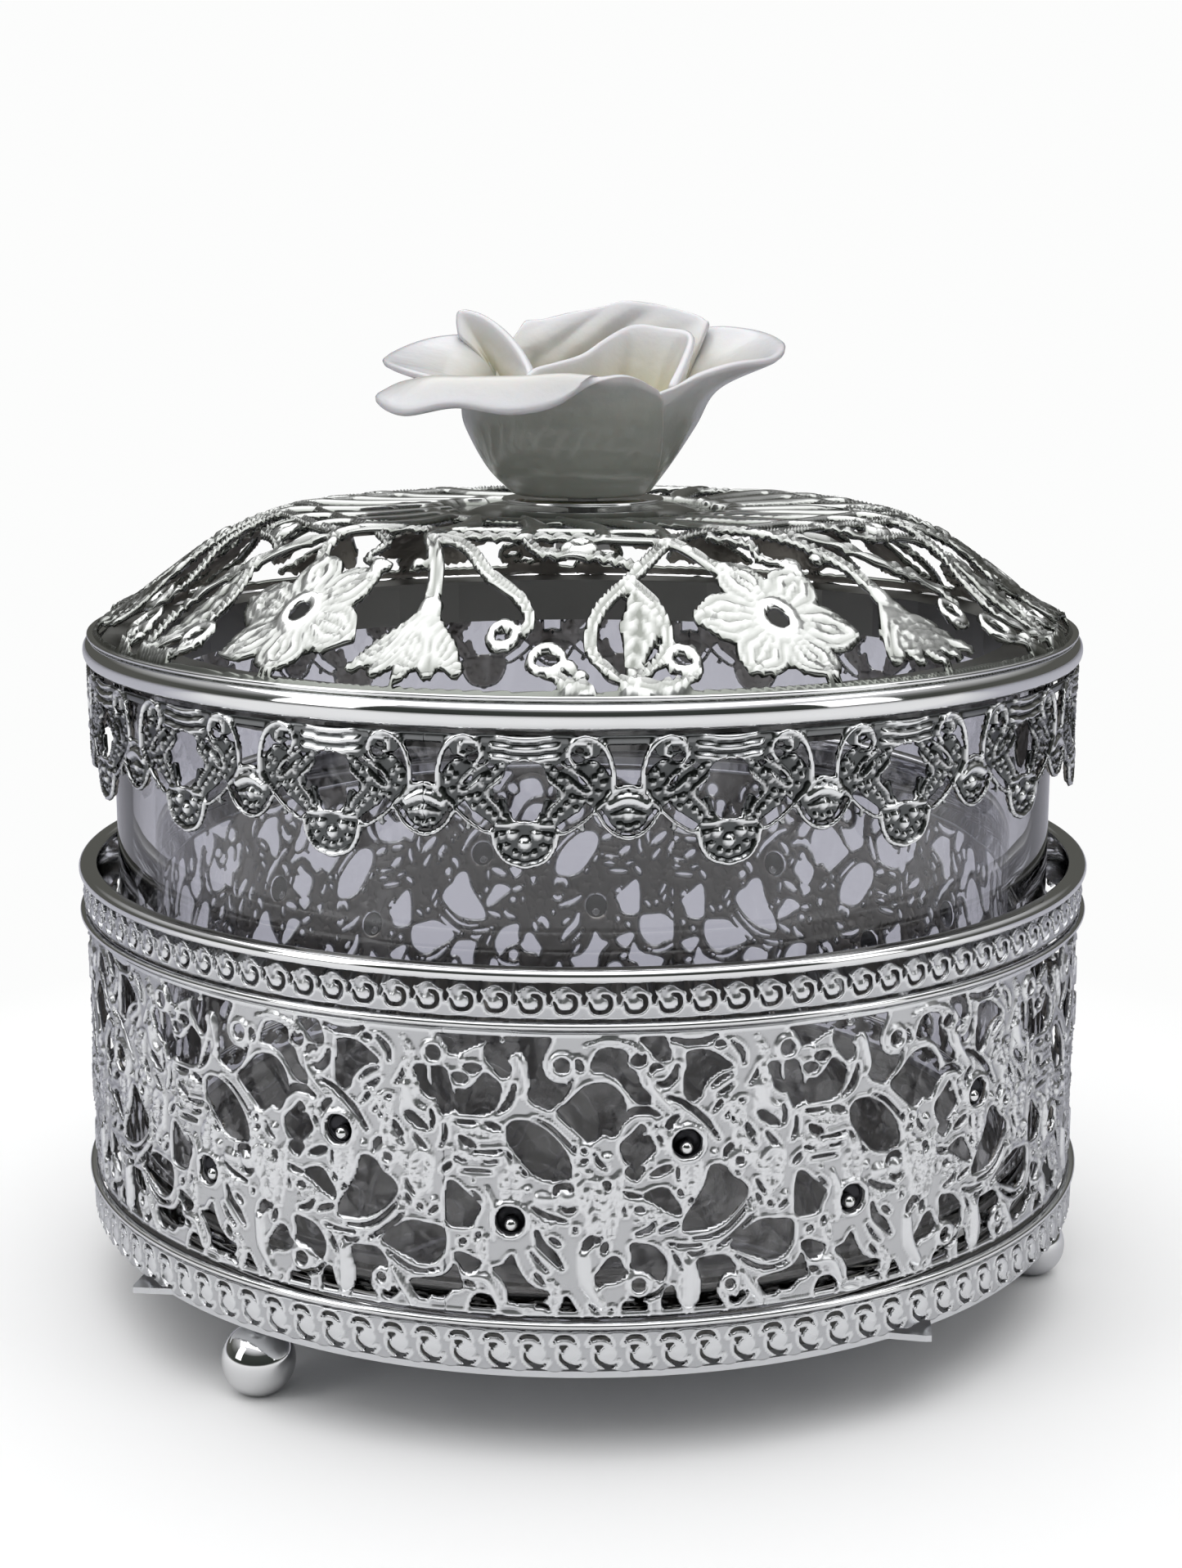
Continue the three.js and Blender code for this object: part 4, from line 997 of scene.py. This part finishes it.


# ---- Openwork dome ----
# Stamped from one sheet over a domed block: six flowers, six bell leaves, looped leaves and stems that
# spring from a ring round the knob.
# the low places of the dome's relief are painted dark, as painted shade between the raised work
dome_plate = plated("dome_plate", (0.79, 0.80, 0.79), 0.16, recess_shade=(0.26, 0.27, 0.25), rise=(0.22, 0.86))
low, high = node_box("lid_dome")
dome_foot, dome_top, dome_outer = low[2], high[2], high[0]
LIP_RISE, LIP_DRAFT, CROWN, FLANK_RUN, FLANK_RISE, SHOULDER = 1.7, 1.0, 28.0, 5.7, 1.5, 10.0
t = np.linspace(0, 1, 60)[:, None]
lip = np.array([dome_outer - LIP_DRAFT, dome_foot + LIP_RISE])
bend = [
    lip, lip + [-FLANK_RUN, FLANK_RISE], np.array([CROWN + SHOULDER, dome_top]), np.array([CROWN, dome_top]),
]
flank = sum(c * b for c, b in zip([(1 - t) ** 3, 3 * t * (1 - t) ** 2, 3 * t ** 2 * (1 - t), t ** 3], bend))
dome_line = np.vstack([[dome_outer, dome_foot], flank, [[0, dome_top]]])[::-1]
DOME_STEP = 0.34
count = int(2 * dome_outer / DOME_STEP) + 5
axis = (np.arange(count) - (count - 1) / 2) * DOME_STEP
plan_x, plan_y = np.meshgrid(axis, axis, indexing="ij")
out = np.hypot(plan_x, plan_y)
FLOWERS, FLOWER_TURN = 6, 23.6
sector = 360 / FLOWERS
around = (np.degrees(np.arctan2(plan_x, -plan_y)) - FLOWER_TURN + sector / 2) % sector - sector / 2
copies = [
    (out * np.sin(np.radians(around + turn)), out * np.cos(np.radians(around + turn)))
    for turn in (-sector, 0, sector)
]
die = Die(copies[1][0], copies[1][1], copies, False)


def on_dome(angle, in_from_edge):
    """A place on the flattened sector, from an angle in degrees and a distance in from the foot."""
    radius = dome_outer - in_from_edge
    return radius * math.sin(math.radians(angle)), radius * math.cos(math.radians(angle))


def stem(places, widths, rise, form="round"):
    """A raised line through places on the dome, each an angle and a distance in from the foot."""
    die.line([on_dome(*place) for place in places], widths, rise, form)


# flowers: six petals round a cup
fx, fy = on_dome(0, 7.6)
for number in range(6):
    a = math.radians(60 * number + 18)
    tip = (fx + 7.2 * math.sin(a), fy + 6.4 * math.cos(a))
    root = (fx + 1.4 * math.sin(a), fy + 1.4 * math.cos(a))
    belly = (fx + 4.6 * math.sin(a), fy + 4.3 * math.cos(a))
    die.line([root, belly, tip], [1.6, 4.8, 1.2], 0.75, "petal")
die.ring(fx, fy, 1.5, 1.1, 0.95)

# bell leaves with stamens
bx, by = on_dome(17.5, 9.0)
for spread in (-2, -1, 0, 1, 2):
    tip = on_dome(17.5 + 2.9 * spread, 1.6 + 0.5 * abs(spread))
    belly = on_dome(17.5 + 1.7 * spread, 5.0)
    die.line([(bx, by), belly, tip], [0.9, 2.7, 1.4], 0.7, "petal")
die.bead(bx, by, 1.2, 0.8)
stem([(17.5, 9.0), (16.2, 12.6), (13.5, 16.0), (9.5, 19.5)], [1.6, 1.5, 1.5, 1.4], 0.7, "double")

# stems
for places, widths in [
    ([(9.5, 19.5), (17.5, 17.4), (23.5, 13.0), (28.6, 10.2), (30.2, 7.6), (27.6, 5.8)],
     [1.2, 1.4, 1.3, 1.2, 1.0, 0.7]),
    ([(50.5, 18.6), (46.0, 15.0), (42.4, 12.2), (38.2, 8.8), (37.4, 5.0), (40.8, 0.9)],
     [1.3, 1.4, 1.3, 1.3, 1.2, 1.0]),
    ([(42.4, 12.2), (45.6, 9.0), (45.6, 5.4), (41.4, 1.0)], [1.1, 1.2, 1.2, 0.9]),
    ([(41.0, 0.8), (45.0, 0.9), (48.0, 2.2), (48.4, 4.8), (46.4, 5.2)], [1.1, 1.1, 1.0, 0.9, 0.7]),
    ([(-9.5, 18.6), (-5.5, 14.4), (-1.5, 10.5)], [1.3, 1.4, 1.3]),
    ([(-1.5, 19.6), (3.5, 17.2), (3.2, 14.6), (6.6, 13.4)], [1.1, 1.0, 0.9, 0.7]),
    ([(9.5, 19.5), (4.0, 23.0), (-9.5, 18.6)], [1.4, 1.3, 1.4]),
    ([(9.5, 19.5), (26.0, 20.5), (40.0, 19.6), (50.5, 18.6)], [1.4, 1.5, 1.5, 1.4]),
    ([(26.0, 20.5), (30.0, 16.6), (38.0, 15.8), (44.0, 14.2)], [1.1, 1.2, 1.1, 0.9]),
    ([(32.0, 4.0), (34.4, 1.4), (37.0, 0.6)], [1.0, 1.2, 1.0]),
]:
    stem(places, widths, 0.7, "double")

# looped leaf with a slit beside it
stem([(43.0, 11.4), (43.0, 7.4), (41.0, 1.6)], [0.6, 3.6, 0.6], 0.6, "leaf")
die.slot([on_dome(39.4, 7.0), on_dome(39.6, 4.6), on_dome(40.6, 2.8)], [0.9, 1.5, 0.4])

# small rings and beads
for angle, edge, radius in [
    (27.4, 6.4, 1.1), (32.6, 3.9, 1.4), (47.0, 3.8, 1.2), (6.8, 13.2, 0.5), (36.0, 17.6, 0.9),
]:
    die.ring(*on_dome(angle, edge), radius, 0.95, 0.8)
for angle, edge in [
    (36.2, 2.2), (35.0, 3.4), (34.0, 17.4), (37.8, 17.2), (7.6, 13.4), (12.4, 14.0), (52.6, 16.6),
]:
    die.bead(*on_dome(angle, edge), 0.75, 0.7)

# sweeping leaves of the crown, lower and smoother than the rest, and the ring they spring from
for angle, edge, far_angle, far_edge, width in [
    (9.5, 19.5, -6.0, 35.0, 2.8), (26.0, 20.5, 12.0, 36.5, 3.0), (40.0, 19.6, 27.0, 36.5, 2.8),
    (50.5, 18.6, 41.0, 35.0, 2.6),
]:
    middle_angle = (angle + far_angle) / 2 + 6
    stem([(angle, edge), (middle_angle, (edge + far_edge) / 2), (far_angle, far_edge)],
         [1.2, width, 1.4], 0.7)
stem([(9.5, 23.0), (26.0, 24.0), (40.0, 23.4), (50.5, 22.0)], [0.9, 1.3, 1.3, 0.9], 0.7)
CROWN_RING, RING_HALF, HEM_HALF = 15.6, 1.0, 0.35
off_ring = np.abs(out - CROWN_RING)
die.strike(slice(None), RING_HALF - off_ring, 0.6 * np.sqrt(1 - np.clip(off_ring / RING_HALF, 0, 1) ** 2))
off_hem = np.abs(out - dome_outer + HEM_HALF)
die.strike(slice(None), HEM_HALF - off_hem, 0.2 * np.sqrt(1 - np.clip(off_hem / HEM_HALF, 0, 1) ** 6))

# the boss that the knob sits on, with a hole for the stud
BOSS_RADIUS, BOSS_SLOPE, BOSS_RISE, STUD_HOLE = 12.5, 3, 0.66, 2.2
boss = np.clip((BOSS_RADIUS - out) / BOSS_SLOPE, 0, 1)
die.strike(slice(None), CROWN_RING - 0.4 - out, BOSS_RISE * boss ** 2 * (3 - 2 * boss))
die.cover = np.minimum(die.cover, dome_outer - 0.05 - out)
die.cover = np.minimum(die.cover, out - STUD_HOLE)

# the plan pressed over the dome, with room for its relief under the worked dome's surface
RELIEF_ROOM, FULL_RELIEF, DOME_SHEET = 0.75, 0.9, 0.5
for name, first, last in [
    ("dome_openwork_front", 0, count // 2), ("dome_openwork_back", count // 2, count - 1),
]:
    places, faces = trimmed_grid(die.cover[:, first:last + 1], False)
    height = read_grid(die.relief[:, first:last + 1], places, False)
    px = np.interp(places[:, 0], np.arange(count), axis)
    py = np.interp(places[:, 1] + first, np.arange(count), axis)
    top_z = np.interp(np.hypot(px, py), dome_line[:, 0], dome_line[:, 1]) - RELIEF_ROOM
    points = np.stack([px, py, top_z + np.minimum(height, RELIEF_ROOM)], -1)
    half = surface(name, points, faces, dome_plate, "lid", "plated_lid", ["lid_dome"],
                   height / FULL_RELIEF)
    thicken(half, DOME_SHEET, dull_shaded_back)


# ---- Dish, stud, washer and nut of the knob ----
# A small turned dish under the rose; a stud cemented in the rose is held by a washer and nut inside.
low, high = node_box("rose_collar")
DISH_BORE, DISH_INSET, DISH_DROP, DISH_CORNER = 1.8, 0.9, 0.1, 0.19
section = rounded_band(DISH_BORE, high[0] - DISH_INSET, low[2], high[2] - DISH_DROP, DISH_CORNER)
polished_ring("knob_dish", section, "lid", "rose_collar", 128)
for name in ("rose_stud", "rose_washer", "rose_nut"):
    finish_node(name, screw_steel)


# ---- Porcelain rose ----
# Thin petals of porcelain clay wrapped round a cone, each overlapping the next and stuck with slip, with
# their free edges turned out by hand; fired and glazed white, painted darker towards the roots as painted
# shade, cream inside.
def glazed(name, deep, edge):
    """Glazed porcelain that goes from a darker tone at a petal's root, painted shade, to a paler one at its
    free edge, and is a little paler at the very foot, where the glaze ran thin."""
    material, tree = new_material(name)
    relief = add(tree, "Attribute", "Fac", {}, attribute_name="relief")
    tone = tones(tree, relief, [(0, [1.25 * part for part in deep]), (0.3, deep), (0.5, deep), (0.97, edge)])
    place = add(tree, "TexCoord", "Object", {})
    cloud = add(tree, "TexNoise", "Fac", {"Vector": place, "Scale": 420, "Detail": 5})
    bump = add(tree, "Bump", "Normal", {"Height": cloud, "Strength": 0.45, "Distance": 0.25 * MM})
    fill(tree, tree.nodes["Principled BSDF"], {
        "Base Color": tone, "Roughness": 0.25, "Coat Weight": 0.35, "Coat Roughness": 0.08,
        "Subsurface Weight": 0.2, "Subsurface Scale": 1.2 * MM, "Normal": bump,
    })
    return material


# the darker root tones are painted shade: grey on the outside of the cone, a darker cream inside
porcelain_out = glazed("porcelain_out", (0.34, 0.35, 0.315), (0.55, 0.55, 0.56))
porcelain_in = glazed("porcelain_in", (0.50, 0.465, 0.335), (0.62, 0.625, 0.65))


def petal(name, rows, replaced, thickness=0.8, crinkle=0.0, outer=porcelain_out):
    """A petal as a smooth sheet through rows of points from its root to its free edge, each row running
    from the petal's left to its right. crinkle is the height of small folds pressed in with a tool."""
    grid = spline(np.swapaxes(spline(np.asarray(rows, float), 5), 0, 1), 6)
    across, up = grid.shape[:2]
    s, t = np.meshgrid(np.linspace(0, 1, across), np.linspace(0, 1, up), indexing="ij")
    fold = np.sin(23 * s + 9 * t) + np.sin(31 * s - 17 * t) * np.sin(13 * t + 2)
    grid = grid + (crinkle * fold * t * (1 - t ** 6))[..., None] * [0.3, -1, 0.4]
    i, j = np.meshgrid(np.arange(across - 1), np.arange(up - 1), indexing="ij")
    faces = np.stack([i * up + j, (i + 1) * up + j, (i + 1) * up + j + 1, i * up + j + 1], -1)
    piece = surface(name, grid.reshape(-1, 3), faces.reshape(-1, 4).tolist(), outer, "lid", "porcelain",
                    replaced, t.reshape(-1))
    thicken(piece, thickness, porcelain_in, 1)
    soft = piece.modifiers.new("soft", "SUBSURF")
    soft.levels = soft.render_levels = 1


def cone_row(angles, radius, height):
    """A row of a petal on the cone of the rose: angles from the front, one radius and height."""
    return [(radius * math.sin(math.radians(a)), -radius * math.cos(math.radians(a)), height) for a in angles]


petal("rose_front_petal", [
    cone_row([-118, -100, -78, -56, -32, -10, 14, 38, 64], 6.9, 80.98),
    cone_row([-112, -96, -76, -55, -33, -11, 12, 34, 52], 9.8, 83.9),
    cone_row([-104, -90, -72, -54, -34, -12, 9, 28, 42], 12.1, 88.2),
    [(-12.6, -0.5, 91), (-12.6, -4, 91), (-11.2, -7.2, 91.1), (-9.2, -9.7, 91.3), (-5.6, -11.9, 91.4),
     (-1.7, -12.9, 91.5), (2.0, -12.9, 91.5), (5.4, -11.9, 91.5), (8.0, -10.3, 90.6)],
    [(-15.5, -1.5, 91.9), (-17, -5.5, 92), (-14.8, -9.2, 92.5), (-11.3, -11.5, 92.5), (-6.0, -13.7, 92.6),
     (-1.8, -14.3, 92.9), (1.8, -13.9, 92.6), (5.0, -12.6, 92.5), (7.8, -10.7, 91.3)],
    [(-18.0, -2.0, 91.2), (-20.3, -7.4, 90.5), (-17.4, -12.2, 89.3), (-12.2, -13.9, 90.2),
     (-7.0, -16.4, 89.6), (-2.6, -16.2, 90.4), (1.4, -14.4, 92.9), (4.6, -13.0, 93.4), (7.5, -11.0, 92.0)],
], ["rose_cup", "rose_petal_front"], 0.9)

petal("rose_right_petal", [
    cone_row([22, 38, 58, 78, 98, 116, 134, 152, 170], 6.7, 81.1),
    cone_row([22, 36, 52, 72, 94, 114, 132, 150, 168], 9.2, 84.4),
    cone_row([22, 34, 50, 68, 92, 112, 130, 146, 164], 11.7, 88.2),
    [(4.9, -11.4, 90), (7.2, -10.2, 90.2), (9.6, -8.8, 90.8), (12.2, -5.8, 91.4), (13.8, -1.5, 91.8),
     (14.2, 3.0, 92.4), (13.0, 7.2, 93.0), (10.6, 10.2, 93.6), (7.6, 12.2, 94)],
    [(5.2, -11.2, 91), (8.6, -9.7, 92.1), (11.8, -8.4, 93.4), (15.7, -5.6, 94.2), (19.6, -1.6, 94.4),
     (21.0, 3.6, 95.7), (19.3, 9.2, 96.8), (15.5, 12.4, 97.4), (11.5, 13.6, 97.2)],
], ["rose_petal_right"], 0.9)

petal("rose_left_petal", [
    cone_row([-142, -126, -110, -94, -78, -62], 7.0, 81.6),
    cone_row([-144, -127, -110, -92, -76, -60], 9.0, 84.6),
    cone_row([-146, -128, -108, -90, -72, -58], 11.4, 88.2),
    [(-8.0, 10.5, 93.6), (-10.4, 8.0, 93), (-12.2, 4.5, 92.4), (-12.6, 0.5, 91.7), (-11.8, -3.2, 91.2),
     (-10.2, -6.2, 90.8)],
    [(-12.5, 13.8, 96.6), (-16.2, 12.2, 96.2), (-19.2, 8.8, 95.2), (-20.7, 3.0, 94.1), (-18.4, -2.6, 93.3),
     (-14.8, -6.2, 92.5)],
], ["rose_petal_left"], 0.8)

petal("rose_back_petal", [
    cone_row([132, 148, 164, 180, 196, 212, 228], 6.4, 82.5),
    [(9.2, 5.5, 88), (7.2, 8, 88), (4.4, 9.4, 88), (0, 10, 88), (-4, 9.2, 88), (-6.6, 7.4, 88),
     (-8.6, 5, 88)],
    [(11.8, 8, 94), (9.4, 10.6, 94.4), (5.6, 11.6, 95), (1, 11.8, 94.6), (-3, 11.2, 94), (-6.4, 10, 93.8),
     (-9, 8, 93.4)],
    [(13.6, 11.6, 98.0), (12.2, 13, 98.8), (9.2, 13.8, 99.7), (5.8, 14, 100.35), (2.4, 14, 99.9),
     (-2.6, 13.8, 98.6), (-6.2, 13.4, 98.1)],
], ["rose_petal_back_right"], 0.8, 0.34)

petal("rose_folded_petal", [
    [(-6.0, 4.6, 86.4), (-6.2, 5.0, 86.4), (-6.0, 4.4, 86.4), (-5.6, 3.2, 86), (-4.9, 1.4, 86),
     (-4.4, -1, 86), (-4.2, -3.6, 86)],
    [(-9.6, 8.0, 93.6), (-9.8, 8.8, 94.2), (-9.2, 7.8, 93.8), (-8.4, 5.8, 92.8), (-7.2, 3, 91.6),
     (-6.2, -0.2, 90.6), (-5.4, -3.6, 90)],
    [(-13.3, 11.4, 97.0), (-13.5, 13.4, 99.6), (-11.4, 11.6, 99.4), (-9.2, 8.6, 98.2), (-7.3, 5, 96.4),
     (-5.9, 1, 94.3), (-5.6, -3, 92.6)],
], ["rose_petal_back_left"], 1.0, 0.0, porcelain_in)

petal("rose_inner_petal", [
    [(-3.2, -4.6, 85), (-2.2, -2.6, 85), (-0.6, -1, 85), (1, 0.2, 85), (2.6, 1, 85), (4, 1.2, 85),
     (5.2, 0.6, 85), (5.8, -1, 85), (6, -3, 85), (6, -5.4, 85)],
    [(-5.2, -5, 90), (-3.8, -2.8, 90.4), (-1.8, -0.6, 90.6), (0.6, 1.4, 91), (2.8, 3, 91.6), (5, 3.8, 92),
     (7.4, 3.4, 92), (8.8, 1.2, 91.6), (8.8, -2, 90.8), (7.8, -6, 89.8)],
    [(-6.1, -4.8, 92.4), (-4.8, -2.2, 93.9), (-2.6, 0, 94.5), (0.2, 2.4, 95.3), (2.6, 4.6, 96.9),
     (5.4, 6.5, 98.3), (8.4, 6.2, 98.0), (10.8, 3.8, 97.5), (10, -1, 95.2), (8.4, -6.4, 92.4)],
], ["rose_inner_petal_1", "rose_inner_petal_2", "rose_inner_petal_3"], 0.9, 0.0, porcelain_in)

petal("rose_heart", [
    [(-4, 2, 86), (-2.4, 3.4, 86), (-0.4, 4.4, 86), (1.8, 5, 86)],
    [(-5.2, 3.6, 89.4), (-3.0, 5.2, 89.8), (-0.6, 6.2, 90), (2.0, 6.8, 90.4)],
    [(-6.0, 5.6, 92.6), (-3.4, 7.2, 93.2), (-0.6, 8.2, 93.8), (2.4, 8.6, 94.2)],
], ["rose_bud"], 0.9, 0.4, porcelain_in)

# the solid foot of the cone, that the stud is cemented in
foot = node_box("rose_cup")[0][2]
FOOT_RADIUS, WAIST, DOME_START, DOME = 5.9, (8.2, 2.8), 4.4, (9.2, 2.6)
profile = np.vstack([
    [[0, foot], [FOOT_RADIUS, foot], [WAIST[0], foot + WAIST[1]]],
    arc((0, foot + DOME_START), DOME, 0, 90, 12),
])
surface("rose_foot", *turned(profile, 96), porcelain_in, "lid", "porcelain", ["rose_cup"])
